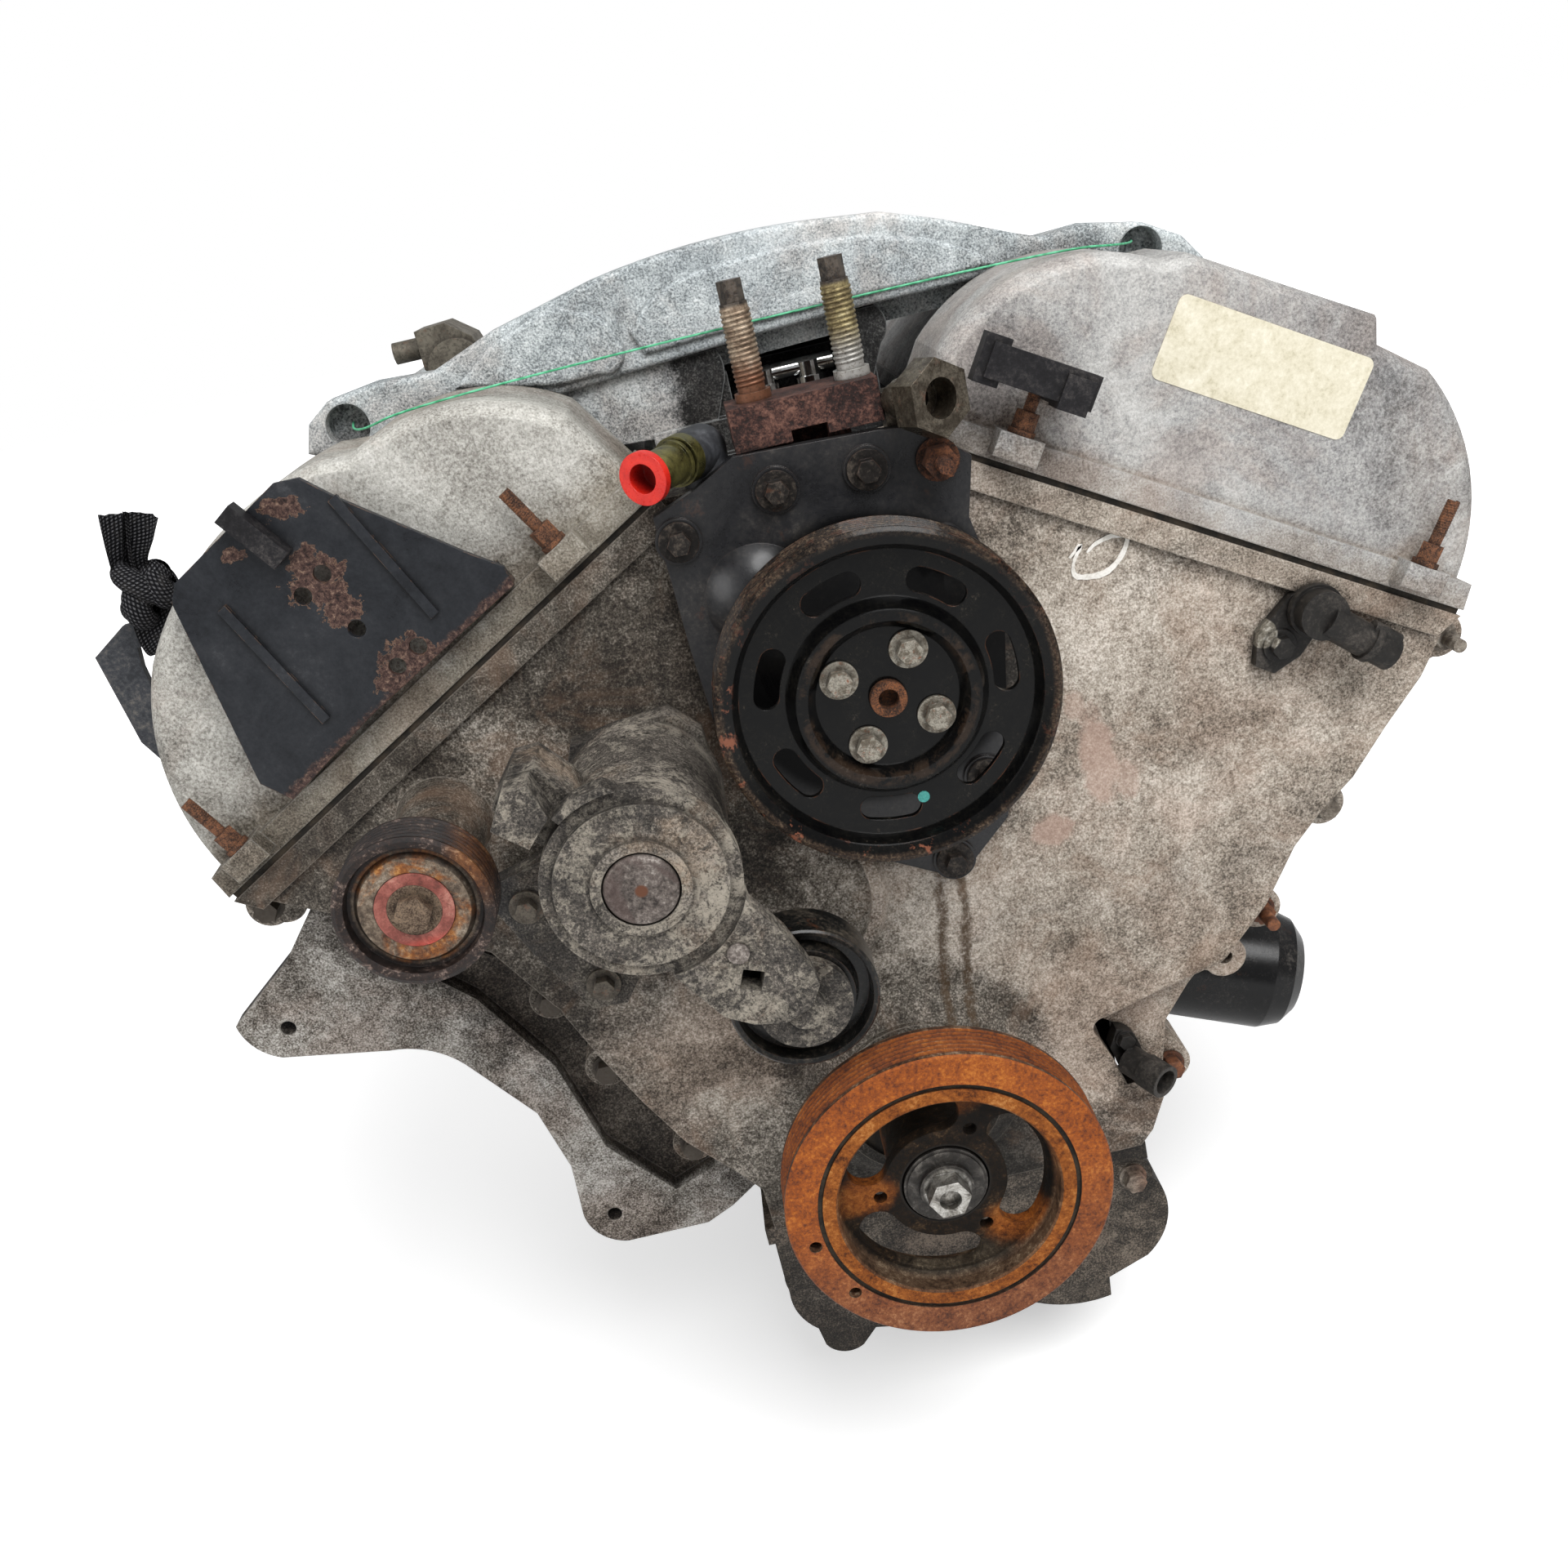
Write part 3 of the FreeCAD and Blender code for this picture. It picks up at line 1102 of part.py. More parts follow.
def make_idler():
    front = BELT - S["belt_half"]
    back = BELT + S["belt_half"]
    rim = S["idler_radius"]
    centre = (S["idler_x"], S["idler_z"])
    seal = 17.5
    front_face = [(8.5, front + 7), (seal + 0.2, front + 7), (seal + 0.2, front + 3), (24.5, front + 3),
                  (26.5, front + 6), (29.5, front + 6), (30.5, front + 1), (rim - 2, front)]
    back_face = [(rim - 5, back), (rim - 6, front + 12), (24, front + 12), (8.5, front + 18)]
    turned("idler_pulley", centre, front_face + grooved(rim, front + 1, back, 6) + back_face)
    turned("idler_seal", centre, [(12.1, front + 2.5), (seal, front + 2.5), (seal, front + 6.8), (12.1, front + 6.8)])
    x, z = N["idler_x"], N["idler_z"]
    face = BELT_FRONT + 2.5
    shape = rod(x, z, 12, face, face + 3).fuse(hexagon(15, 6, point(x, face, z), Vector(0, -1, 0)))
    stem_end = COVER_FRONT + 4 - BELT_BACK_GAP
    shape = shape.fuse(rod(x, z, 8.5 - N["fit_gap"], face + 2, BELT_FRONT + 18.5))
    shape = shape.fuse(rod(x, z, 11, BELT_FRONT + 18.5, stem_end))
    solid("idler_bolt", shape.removeSplitter())


def polar_offset(x, z, radius, degrees):
    return x + radius * math.cos(math.radians(degrees)), z + radius * math.sin(math.radians(degrees))


TENSIONER_BOLTS = [(-173.0, 163.0), (-147.0, 111.0)]


def make_tensioner():
    px, pz = N["pivot_x"], N["pivot_z"]
    rx, rz = N["roller_x"], N["roller_z"]
    arm_back = BELT_FRONT - 3
    arm_front = arm_back - N["arm_thickness"]
    wall_front = COVER_FRONT
    plate = [(-187.0, 178.0), (-189.0, 164.0), (-176.0, 134.0), (-156.0, 98.0), (-138.0, 97.0), (-122.0, 118.0),
             (-80.0, 150.0), (-64.0, 190.0), (-66.0, 232.0), (-80.0, 246.0), (-130.0, 240.0), (-150.0, 188.0)]
    base = prism(plate, wall_front - 10, wall_front + 4)
    cup_back = arm_back + 34
    cup = rod(px, pz, 40, arm_back + 1.5, wall_front - 4)
    tab_outer = [polar_offset(px, pz, r, a) for r, a in ((36, 118), (47, 116), (66, 120), (72, 128), (70, 142),
                                                        (47, 150), (36, 152))]
    tab = prism(tab_outer, arm_back + 6, arm_back + 40)
    tab_tip = [polar_offset(px, pz, r, a) for r, a in ((50, 127), (66, 122), (72, 130), (68, 144), (50, 146))]
    tab = tab.fuse(prism(tab_tip, arm_front + 1, arm_back + 8))
    buttress = [polar_offset(px, pz, r, a) for r, a in ((30, 200), (44, 205), (60, 212), (56, 222), (30, 235))]
    shape = base.fuse([cup, tab, prism(buttress, cup_back, wall_front - 6)])
    shape = shape.cut(rod(px, pz, 34, arm_back, wall_front - 12))
    shape = shape.fuse(rod(px, pz, 12, arm_back + 8, wall_front - 10))
    solid("tensioner_base", shape.removeSplitter())
    bolts = [bolt(point(x, wall_front - 10, z), Vector(0, -1, 0), 10, 6, 9) for x, z in TENSIONER_BOLTS]
    solid("tensioner_bolts", group(bolts))

    disc = rod(px, pz, N["arm_disc"], arm_front, arm_back)
    lug = prism([polar_offset(px, pz, r, a) for r, a in ((38, 126), (49, 126), (49.4, 112), (49, 96), (43, 86),
                                                       (38, 100))], arm_front, arm_back)
    arm = prism([(px + 41, pz + 14), (px + 43, pz - 20), (px + 55, pz - 38), (px + 63, pz - 58),
                 (rx + 8.5, rz + 14), (rx + 3, rz + 4), (rx - 10, rz - 1), (rx - 24, rz + 2),
                 (px + 20, pz - 71), (px + 2, pz - 43), (px + 10, pz)], arm_front, arm_back)
    collar = rod(px, pz, 22, arm_front - 2.5, arm_front + 1)
    stem = rod(rx, rz, 9, arm_front + 4, BELT_BACK - 2)
    shield = rod(rx, rz, 22, arm_back - 2, BELT_FRONT + 1)
    shape = disc.fuse([lug, arm, collar, stem, shield])
    rim = ring(px, pz, N["arm_disc"] + 1, N["arm_disc"] - 6, arm_front - 1, arm_front + 3)
    shape = shape.cut(rim)
    half = N["square_drive"] / 2
    sx, sz = rx - 20, rz + 24
    hole = box(-half, half, arm_front - 5, arm_back + 5, -half, half)
    hole.rotate(Vector(0, 0, 0), Vector(0, 1, 0), 22)
    hole.translate(Vector(sx, 0, sz))
    shape = shape.cut(hole).cut(rod(px, pz, 17.2, arm_front - 5, arm_front + 2))
    pivot = rod(px, pz, 34 - N["fit_gap"], arm_back - 1, arm_back + 5)
    shape = shape.fuse(pivot)
    solid("tensioner_arm", shape.removeSplitter())

    cap = rod(px, pz, 16.5, arm_front - 4, arm_front + 2)
    cap = cap.makeFillet(2.5, [cap.Edges[0] if abs(cap.Edges[0].BoundBox.YMin - arm_front + 4) < 0.01
                               else cap.Edges[2]])
    rivet = rod(sx - 3, sz + 15, 5, arm_front - 1.5, arm_front)
    solid("tensioner_caps", group([cap, rivet]))

    front, back = BELT - S["belt_half"], BELT + S["belt_half"]
    rim_r = S["roller_radius"]
    turned("tensioner_pulley", (S["roller_x"], S["roller_z"]), [
        (9 + S["fit_gap"], front + 2), (24, front + 2), (26, front + 9), (rim_r - 4, front + 9), (rim_r - 3, front + 1),
        (rim_r - 1, front), (rim_r, front + 1), (rim_r, back - 1), (rim_r - 1, back), (rim_r - 4, back),
        (rim_r - 4, front + 14), (24, front + 14), (20, front + 18), (9 + S["fit_gap"], front + 18)])


# Top of the vee.

def make_mount_block():
    x_from, x_to = -20.0, 50.0
    top = N["block_top"]
    front, back = COVER_FRONT - 3, COVER_FRONT + 32
    body = doc.addObject("Part::Box", "mount_bar")
    body.Length = x_to - x_from
    body.Width = back - front
    body.Height = 20
    body.Placement.Base = point(x_from, front, 0)
    body.setExpression("Placement.Base.z", (S["block_top"] - 20).text)
    foot = doc.addObject("Part::Box", "mount_foot")
    foot.Length = 40
    foot.Width = 22
    foot.Height = 13.0
    foot.Placement.Base = point(-5, front + 10, 0)
    foot.setExpression("Placement.Base.z", (S["block_top"] - 32.5).text)
    solid_bar = doc.addObject("Part::Fuse", "mount_bar_and_foot")
    solid_bar.Base, solid_bar.Tool = body, foot
    notch = doc.addObject("Part::Box", "mount_notch")
    notch.Length = 17
    notch.Width = 24
    notch.Height = 18.0
    notch.Placement.Base = point(7, front - 1, 0)
    notch.setExpression("Placement.Base.z", (S["block_top"] - 33).text)
    whole = doc.addObject("Part::Cut", "mount_block")
    whole.Base, whole.Tool = solid_bar, notch
    keep(whole, "mount_block")
    shapes = []
    for k in (-0.5, 0.5):
        x, y = 17.5 + k * N["stud_spacing"], COVER_FRONT + 15
        length = N["stud_length"]
        stud = Part.makeCylinder(N["stud_radius"], length - 10, point(x, y, top), Vector(0, 0, 1))
        tip = hexagon(10, 10, point(x, y, top + length - 10), Vector(0, 0, 1))
        collar = Part.makeCylinder(N["stud_radius"] + 2, 4, point(x, y, top), Vector(0, 0, 1))
        shapes.append(stud.fuse([tip, collar]).removeSplitter())
    solid("mount_studs", group(shapes))


HEX_AXIS = Vector(0.5, -0.85, 0).normalize()
HEX_MOUTH = Vector(73.0, COVER_FRONT - 30, 365.0)


def make_fittings():
    mouth = HEX_MOUTH
    axis = HEX_AXIS
    shape = hexagon(31, 14, mouth - axis * 14, axis)
    shape = shape.fuse(Part.makeCylinder(13, 5, mouth - axis * 19, axis))
    shape = shape.fuse(Part.makeCylinder(9.5, 12, mouth - axis * 28, axis))
    shape = shape.fuse(Part.makeCylinder(7, 10, mouth - axis * 34, axis))
    shape = shape.cut(Part.makeCylinder(9, 16, mouth - axis * 14, axis))
    shape = shape.cut(Part.makeCylinder(4.5, 10, mouth - axis * 22, axis))
    floor = N["joint_height"] * COS + 58.5 + N["soft_gap"]
    shape = shape.fuse(box(51, 59, COVER_FRONT + 0.5, COVER_FRONT + 16, floor, floor + 24))
    solid("hex_fitting", shape.removeSplitter())
    forward = Vector(0, -1, 0)
    start = Vector(70.0, COVER_FRONT - 7.3, 335.0)
    shapes = [Part.makeCylinder(10, 3, start, forward), hexagon(14, 13, start, forward),
              Part.makeCylinder(3.5, 24, start, forward)]
    solid("ground_stud", joined(shapes))


CAP_MOUTH = Vector(-63.0, COVER_FRONT - 32, 360.5)
TUBE_AXIS = Vector(-0.52, -0.85, 0.0).normalize()
CAP_FLANGE = 4.0


def make_coolant_tube():
    axis = TUBE_AXIS
    mouth = CAP_MOUTH
    tube_front = mouth - axis * (CAP_FLANGE + N["soft_gap"])
    inner = N["tube_radius"] - 1.5
    tube = Part.makeCylinder(N["tube_radius"], 32, tube_front - axis * 32, axis)
    tube = tube.fuse(Part.makeCylinder(N["tube_radius"] + 1.2, 2.5, tube_front - axis * 24, axis))
    tube = tube.cut(Part.makeCylinder(inner, 34, tube_front - axis * 33, axis))
    hose_radius = N["tube_radius"] + 2.2
    bend = tube_front - axis * 49
    drop = Vector(0, 0, -1)
    seat = bend.z - N["joint_height"] * COS - 58.7 - N["soft_gap"]
    elbow = Part.makeCylinder(hose_radius, 24, bend, axis)
    elbow = elbow.fuse([Part.makeSphere(hose_radius, bend), Part.makeCylinder(hose_radius, seat, bend, drop)])
    elbow = elbow.cut(Part.makeCylinder(inner, 40, bend + axis * 4, axis))
    solid("coolant_tube", tube.fuse(elbow).removeSplitter())
    flange = Part.makeCylinder(N["cap_radius"], CAP_FLANGE, mouth - axis * CAP_FLANGE, axis)
    plug = Part.makeCylinder(inner - N["fit_gap"], 18, mouth - axis * (CAP_FLANGE + 16), axis)
    recess = Part.makeCylinder(inner - 1.3, 13, mouth - axis * 12, axis)
    solid("red_cap", flange.fuse(plug).cut(recess).removeSplitter())


INTAKE_FRONT, INTAKE_BACK = -360.0, -72.0
INTAKE_HOLES = [(-205.0, 401.0), (201.0, 397.0)]
THROTTLE_Z = 390.0


INTAKE_LOBES = [
    [(-148.0, 407.0), (-126.0, 423.0), (-103.0, 431.0), (-90.0, 433.0, "arc"), (-79.0, 429.0), (-68.0, 423.0, "arc"),
     (-63.0, 413.0), (-63.0, 402.0, "arc"), (-76.0, 397.5), (-99.0, 397.0)],
    [(-57.0, 414.0), (-45.0, 427.0), (-27.0, 434.0), (20.0, 437.0, "arc"), (66.0, 434.0), (96.0, 426.0),
     (120.0, 414.0), (128.0, 406.0), (60.0, 406.0), (4.0, 405.0), (-52.0, 402.0)],
]


def make_intake():
    """Upper intake: an arched front flange, the runners' roof behind it and the throttle flange at the rear."""
    arch = [(-229.0, 392.0), (-224.0, 406.0), (-212.0, 414.5), (-187.0, 418.0), (-158.0, 416.5), (-124.0, 429.0),
            (-71.0, 441.5), (-12.0, 447.5, "arc"), (45.0, 445.5), (77.0, 442.0), (104.0, 433.0), (142.0, 417.5),
            (152.0, 414.0), (176.0, 415.0), (204.0, 409.5), (223.0, 399.0), (233.0, 386.0), (225.0, 379.5),
            (160.0, 391.0), (134.0, 401.0), (60.0, 400.5), (8.0, 399.0), (-58.0, 395.0), (-99.0, 392.0),
            (-147.0, 399.0), (-214.0, 385.0)]
    front, back = INTAKE_FRONT, INTAKE_BACK
    rim = prism(arch, front, front + 20)
    edge = [one for one in rim.Edges if abs(one.BoundBox.YMax - front) < 1e-6]
    rim = rim.makeFillet(3.0, edge)
    lobes = []
    for lobe in INTAKE_LOBES:
        raised = prism(lobe, front - 3.5, front + 1)
        edge = [one for one in raised.Edges if abs(one.BoundBox.YMax - front + 3.5) < 1e-6]
        lobes.append(raised.makeFillet(2.6, edge))
    inner = prism([(x * 0.97, z - 11) + tuple(rest) for x, z, *rest in arch], front + 18, back)
    tail = box(-62, 62, back - 86, back + 2, THROTTLE_Z - 40, THROTTLE_Z + 40)
    flange = box(-46, 46, back, back + 16, THROTTLE_Z - 45, THROTTLE_Z + 45)
    shape = joined([rim, inner, tail, flange] + lobes)
    for x, z in INTAKE_HOLES:
        shape = shape.cut(rod(x, z, 11, front - 1, front + 15))
    shape = shape.cut(rod(0, THROTTLE_Z, N["throttle_radius"], back - 70, back + 17))
    half = N["throttle_bolts"] / 2
    for x in (-half, half):
        for z in (THROTTLE_Z - half, THROTTLE_Z + half):
            shape = shape.cut(rod(x, z, 3.3, back, back + 17))
    solid("intake_manifold", shape.removeSplitter())
    valve = [(-165.0, 436.0), (-149.0, 437.0), (-137.0, 428.0), (-132.0, 413.0), (-160.0, 410.0), (-165.0, 417.0)]
    body = prism(valve, front + 30, front + 66)
    nozzle = Part.makeCylinder(5.5, 34, point(-180, front + 44, 427), Vector(1, 0, 0))
    foot = rod(-148.0, 414.0, 15, front + 26, front + 60)
    solid("vent_valve", joined([body, nozzle, foot]).cut(inner.fuse(rim)))


def make_runners():
    """Lower intake casting in the vee, with the runner boxes that show at the front."""
    deck = N["deck_height"]
    inner_low = bank_point(RIGHT, -62, deck)
    inner_swell = bank_point(RIGHT, -66, head_level("swell"))
    inner_top = bank_point(RIGHT, -92, head_level("shoulder"))
    outline = [(0.0, 345.0), (inner_top[0] - 2, 345.0), inner_top, inner_swell, inner_low, (0.0, inner_low[1] - 14)]
    body = prism(mirrored(outline), COVER_FRONT + N["dome_depth"] + 1.5, -60.0)
    tower = box(-60, 62, INTAKE_FRONT + 14, INTAKE_BACK - 88, 343, 383.5)
    face = INTAKE_FRONT + 7
    left_box = prism([(-98.0, 391.8), (-65.0, 394.0), (-38.0, 395.8), (-17.0, 396.6), (-15.0, 390.0, "arc"),
                      (-17.0, 378.0), (-23.0, 363.0), (-28.0, 358.5, "arc"), (-40.0, 358.5), (-82.0, 361.0),
                      (-90.0, 364.0, "arc"), (-96.0, 372.0), (-99.5, 381.0)], face, face + 10)
    right_box = prism([(33.0, 399.0), (66.0, 399.6), (70.0, 393.0, "arc"), (66.0, 381.0), (59.0, 365.0),
                       (52.0, 360.0, "arc"), (42.0, 364.0), (33.0, 372.0)], face, face + 10)
    web = box(-58, 60, INTAKE_FRONT + 6, INTAKE_FRONT + 20, 343, 362)
    shape = body.fuse([tower, left_box, right_box, web])
    shape = shape.cut(box(-14, 46, INTAKE_FRONT - 1, INTAKE_FRONT + 46, 362, 402))
    solid("intake_runners", shape.removeSplitter())


def make_fuel_rail():
    y_front = INTAKE_FRONT + 22
    shapes = []
    for x in (4.0, 28.0):
        shapes.append(Part.makeCylinder(6.5, 17, point(x, y_front, 362.3), Vector(0, 0, 1)))
        shapes.append(Part.makeCylinder(8.5, 6, point(x, y_front, 366), Vector(0, 0, 1)))
    shapes.append(Part.makeCylinder(4.5, 50, point(-9, y_front, 377), Vector(1, 0, 0)))
    solid("fuel_rail", joined(shapes))


# Brackets, sensors and trim.

def make_bracket_plate():
    """Pressed cover plate, bent out of black sheet, on the left valve cover."""
    outline = [(49.0, 349.0), (106.0, 346.0), (111.0, 362.0), (72.0, 447.0), (64.0, 452.0), (-2.0, 452.0),
               (-12.0, 446.0), (-18.0, 428.0), (-41.0, 373.0), (-49.0, 356.0), (-46.0, 347.0)]
    outline = [(-p[0], p[1]) for p in outline]
    outline = [(-w, v) for w, v in outline]
    front = COVER_FRONT - 12
    plate = prism(banked(LEFT, outline), front, front + 3)
    legs = []
    for w in (-38.0, 96.0):
        leg = [(w - 7, 347.0), (w + 7, 347.0), (w + 7, 359.0), (w - 7, 359.0)]
        legs.append(prism(banked(LEFT, leg), front + 2, COVER_FRONT + 4.8))
    shape = plate.fuse(legs)
    for w in (-10.0, 64.0):
        rib = [(w - 2.5, 362.0), (w + 2.5, 362.0), (w - 4, 430.0), (w - 9, 430.0)]
        shape = shape.fuse(prism(banked(LEFT, rib), front - 2, front + 1))
    for w, v in ((13.0, 410.0), (27.0, 409.0), (21.0, 382.0), (7.0, 357.0), (21.0, 357.0)):
        x, z = bank_point(LEFT, w, v)
        shape = shape.cut(rod(x, z, 4.2, front - 4, front + 4))
    solid("cover_bracket_plate", shape.removeSplitter())


def make_clips():
    """Wiring clips: one on the plate, one on the right cover, with their legs."""
    shapes = []
    x, z = bank_point(LEFT, 13.0, 438.0)
    clip = box(-5, 5, COVER_FRONT - 22, COVER_FRONT - 12, -16, 16)
    clip.rotate(Vector(0, 0, 0), Vector(0, 1, 0), -LEFT * -35)
    clip.translate(Vector(x - 8, 0, z))
    shapes.append(clip)
    body = box(-26, 26, COVER_FRONT - 26, COVER_FRONT - 12, -8, 8)
    body = body.fuse(box(-30, -18, COVER_FRONT - 24, COVER_FRONT - 14, -11, 11))
    body = body.fuse(box(10, 24, COVER_FRONT - 28, COVER_FRONT - 12, -11, 5))
    body.rotate(Vector(0, 0, 0), Vector(0, 1, 0), 30)
    body.translate(Vector(120, 0, 363))
    leg = prism([(124.0, 349.0), (133.0, 344.0), (138.0, 353.0), (129.0, 358.0)], COVER_FRONT - 16, COVER_FRONT + 4.8)
    shapes.append(body.fuse(leg).removeSplitter())
    solid("wiring_clips", group(shapes))


EYE_Y = -340.0


def make_lifting_eye():
    """Bent steel plate on the side of the left head, with a large opening at its top."""
    outline = [bank_point(LEFT, 150.3, 304), bank_point(LEFT, 150.3, 325), bank_point(LEFT, 158, 325),
               bank_point(LEFT, 163, 345), (-308.0, 262.0), (-306.0, 305.0), (-318.0, 323.0), (-332.0, 326.0),
               (-357.0, 326.0), (-377.0, 313.0), (-371.0, 262.0), (-331.0, 190.0), (-293.0, 177.5)]
    hole = [(-353.5, 313.0), (-320.0, 313.0), (-317.0, 298.0), (-321.0, 285.0), (-335.0, 276.0), (-354.0, 286.0),
            (-355.0, 302.0)]
    plate = prism(outline, EYE_Y, EYE_Y + 5).cut(prism(hole, EYE_Y - 1, EYE_Y + 6))
    foot = prism(banked(LEFT, [(150.3, 303.0), (156.0, 303.0), (156.0, 327.0), (150.3, 327.0)]), EYE_Y, EYE_Y + 38)
    screw_x, screw_z = bank_point(LEFT, 156.0, 315.0)
    out = Vector(-COS, 0, -SIN)
    screw = bolt(point(screw_x, EYE_Y + 24, screw_z), out, 13, 8)
    solid("lifting_eye", plate.fuse([foot, screw]).removeSplitter())


def make_strap():
    """Webbing looped through the lifting eye, knotted above it."""
    y = EYE_Y - 0.4
    tail = prism([(-352.0, 385.0), (-318.0, 381.0), (-322.0, 369.0), (-330.0, 354.0), (-346.0, 354.0),
                  (-349.0, 364.0)], y - 12, y - 4)
    knot = prism([(-353.0, 357.0), (-358.0, 343.0), (-354.0, 328.5), (-340.0, 327.5), (-322.0, 330.0),
                  (-316.0, 344.0), (-330.0, 354.0), (-342.0, 360.0)], y - 22, y)
    loop = box(-349, -323, y - 6, EYE_Y + 14, 303, 331)
    loop = loop.cut(box(-350, -322, y, EYE_Y + 5.4, 309.5, 326.5))
    solid("lifting_strap", joined([knot, tail, loop]))


CAM_SENSOR = (222.0, 205.0)


def make_sensors(cover):
    x, z = CAM_SENSOR
    face = COVER_FRONT + 4
    pad = prism([(x - 13, z - 8), (x - 4, z - 14), (x + 10, z - 8), (x + 30, z + 14), (x + 24, z + 26),
                 (x + 8, z + 24), (x - 10, z + 8)], face - 6, face)
    body = rod(x + 18, z + 15, 12, face - 22, face)
    neck = rod(x + 18, z + 15, 13.5, face - 12, face - 8)
    along = Vector(0.766, 0, -0.643)
    across = Vector(0.643, 0, 0.766)
    plug = Part.makeCylinder(8.5, 40, point(x + 20, face - 17, z + 12), along)
    collar = Part.makeCylinder(10, 4, point(x + 20, face - 17, z + 12) + along * 24, along)
    latch = Part.makeCylinder(4, 16, point(x + 20, face - 19, z + 12) + along * 22 + across * 7, along)
    mouth = Part.makeCylinder(6.5, 9, point(x + 20, face - 17, z + 12) + along * 32, along)
    screw = bolt(point(x, face - 6, z), Vector(0, -1, 0), 10, 5, 8.5)
    sensor = joined([pad, body, neck, plug, collar, latch]).cut(mouth).cut(cover)
    solid("cam_sensor", group([sensor, screw]))
    x, z = CRANK_SENSOR
    floor_y = COVER_FRONT + 4 + LEDGE_DEPTH
    foot = prism([(x - 3, z + 15), (x + 4, z + 11, "arc"), (x + 9, z + 1), (x + 11, z - 12), (x + 2, z - 17, "arc"),
                  (x - 4, z - 10), (x - 8, z + 4)], floor_y - 9, floor_y - 0.2)
    stem = Part.makeCylinder(8.5, 17, point(x + 1, floor_y - 12, z - 4), Vector(0.5, -0.85, -0.17))
    plug = Part.makeCylinder(9.5, 14, point(x + 1, floor_y - 12, z - 4) + Vector(6, -10.2, -2),
                             Vector(0.5, -0.85, -0.17))
    mouth = Part.makeCylinder(7, 8, point(x + 1, floor_y - 12, z - 4) + Vector(9.5, -16.2, -3.2),
                              Vector(0.5, -0.85, -0.17))
    screw = bolt(point(x + 1, floor_y - 9, z + 8), Vector(0, -1, 0), 8, 4, 5.5)
    solid("crank_sensor", joined([foot, stem, plug, screw]).cut(mouth))


def make_oil_filter():
    radius = S["filter_radius"]
    body = doc.addObject("PartDesign::Body", "oil_filter")
    sketch = body.newObject("Sketcher::SketchObject", "oil_filter_profile")
    attach(sketch, body, "XY_Plane")
    closed_profile(sketch, [(0, 0), (radius - 9, 0), (radius - 9, 5), (radius, 6), (radius, 66), (radius - 4, 78),
                            (radius - 12, 85), (0, 88)])
    turn = body.newObject("PartDesign::Revolution", "oil_filter_turn")
    turn.Profile = sketch
    turn.ReferenceAxis = (sketch, ["V_Axis"])
    turn.Angle = 360
    axis = Vector(0.93, -0.18, -0.32).normalize()
    seat = Vector(N["crank_case_half"] + 45.0, N["block_front"] + 52, -18.0)
    body.Placement = Placement(seat, Rotation(Vector(0, 1, 0), axis))
    doc.recompute()
    keep(body, "oil_filter")
    neck = Part.makeCylinder(24, 40, seat - axis * 40, axis)
    flank = N["crank_case_half"]
    pad = box(flank, flank + 27, seat.y - 34, seat.y + 40, seat.z - 26, seat.z + 42)
    housing = pad.fuse(Part.makeCylinder(34, 34, seat - axis * 34, axis)).fuse(neck)
    housing = housing.cut(box(0, flank, -500, 0, -100, 100))
    solid("oil_filter_housing", housing.removeSplitter())


def make_accessory_bracket(cover):
    face = N["accessory_face"]
    outline = [(-100.0, -66.0), (-120.0, -80.0), (-137.0, -88.0), (-186.0, -88.0), (-198.0, -82.0, "arc"),
               (-207.0, -63.0), (-205.0, -28.0), (-214.0, 12.0), (-242.0, 51.0), (-258.0, 66.0, "arc"),
               (-281.0, 73.0), (-339.0, 84.0), (-350.0, 92.0, "arc"), (-357.0, 109.0), (-318.0, 140.0),
               (-292.0, 171.0), (-284.0, 166.0), (-262.0, 128.0), (-226.0, 92.0), (-196.0, 40.0),
               (-182.0, -20.0), (-150.0, -60.0), (-124.0, -50.0), (-118.0, -20.0), (-104.0, -30.0)]
    flange = prism(outline, face, face + 14)
    root = [(-122.0, 10.0), (-122.0, -60.0), (-150.0, -60.0), (-196.0, -30.0), (-200.0, 30.0), (-240.0, 80.0),
            (-284.0, 150.0), (-276.0, 158.0), (-200.0, 100.0), (-150.0, 60.0)]
    web = prism(root, face + 12, face + 70)
    floor = box(-150, -122, face + 12, face + 130, -70, 12)
    shape = flange.fuse([web, floor])
    for x, z in ACCESSORY_HOLES:
        shape = shape.fuse(rod(x, z, 13, face, face + 18))
    for x, z in ACCESSORY_HOLES:
        shape = shape.cut(rod(x, z, N["accessory_hole"], face - 1, face + 19))
    block_side = box(-N["crank_case_half"], 0, N["block_front"] - 5, 0, -200, 100)
    shape = shape.cut(block_side)
    deck, half = N["deck_height"], N["crank_case_half"]
    bank_side = prism([bank_point(LEFT, 72.3, deck + 100), bank_point(LEFT, 72.3, deck - 95), (-half, 22.0),
                       (0, 22.0), (0, 300.0)], N["block_front"] - 5, 0)
    cover_line = [(x - 2, z - 2) for x, z in reversed(COVER_LEFT)]
    keep_off = prism([(-100.0, 400.0)] + [(-340.0, 400.0)] + [(-330.0, 190.0)] + cover_line + [(0.0, -77.0), (0.0, 400.0)],
                     COVER_FRONT, N["block_front"] + 0.3)
    shape = shape.cut(bank_side).cut(keep_off).cut(cover)
    for x, z in COVER_BOSSES:
        shape = shape.cut(rod(x, z, 13.0, face - 1, N["block_front"] + 1))
    pieces = sorted(shape.Solids, key=lambda one: one.Volume)
    solid("accessory_bracket", pieces[-1].removeSplitter())


ACCESSORY_HOLES = [(-330.0, 101.0), (-189.0, -67.0)]


# Green string, pulled tight over both valve covers.

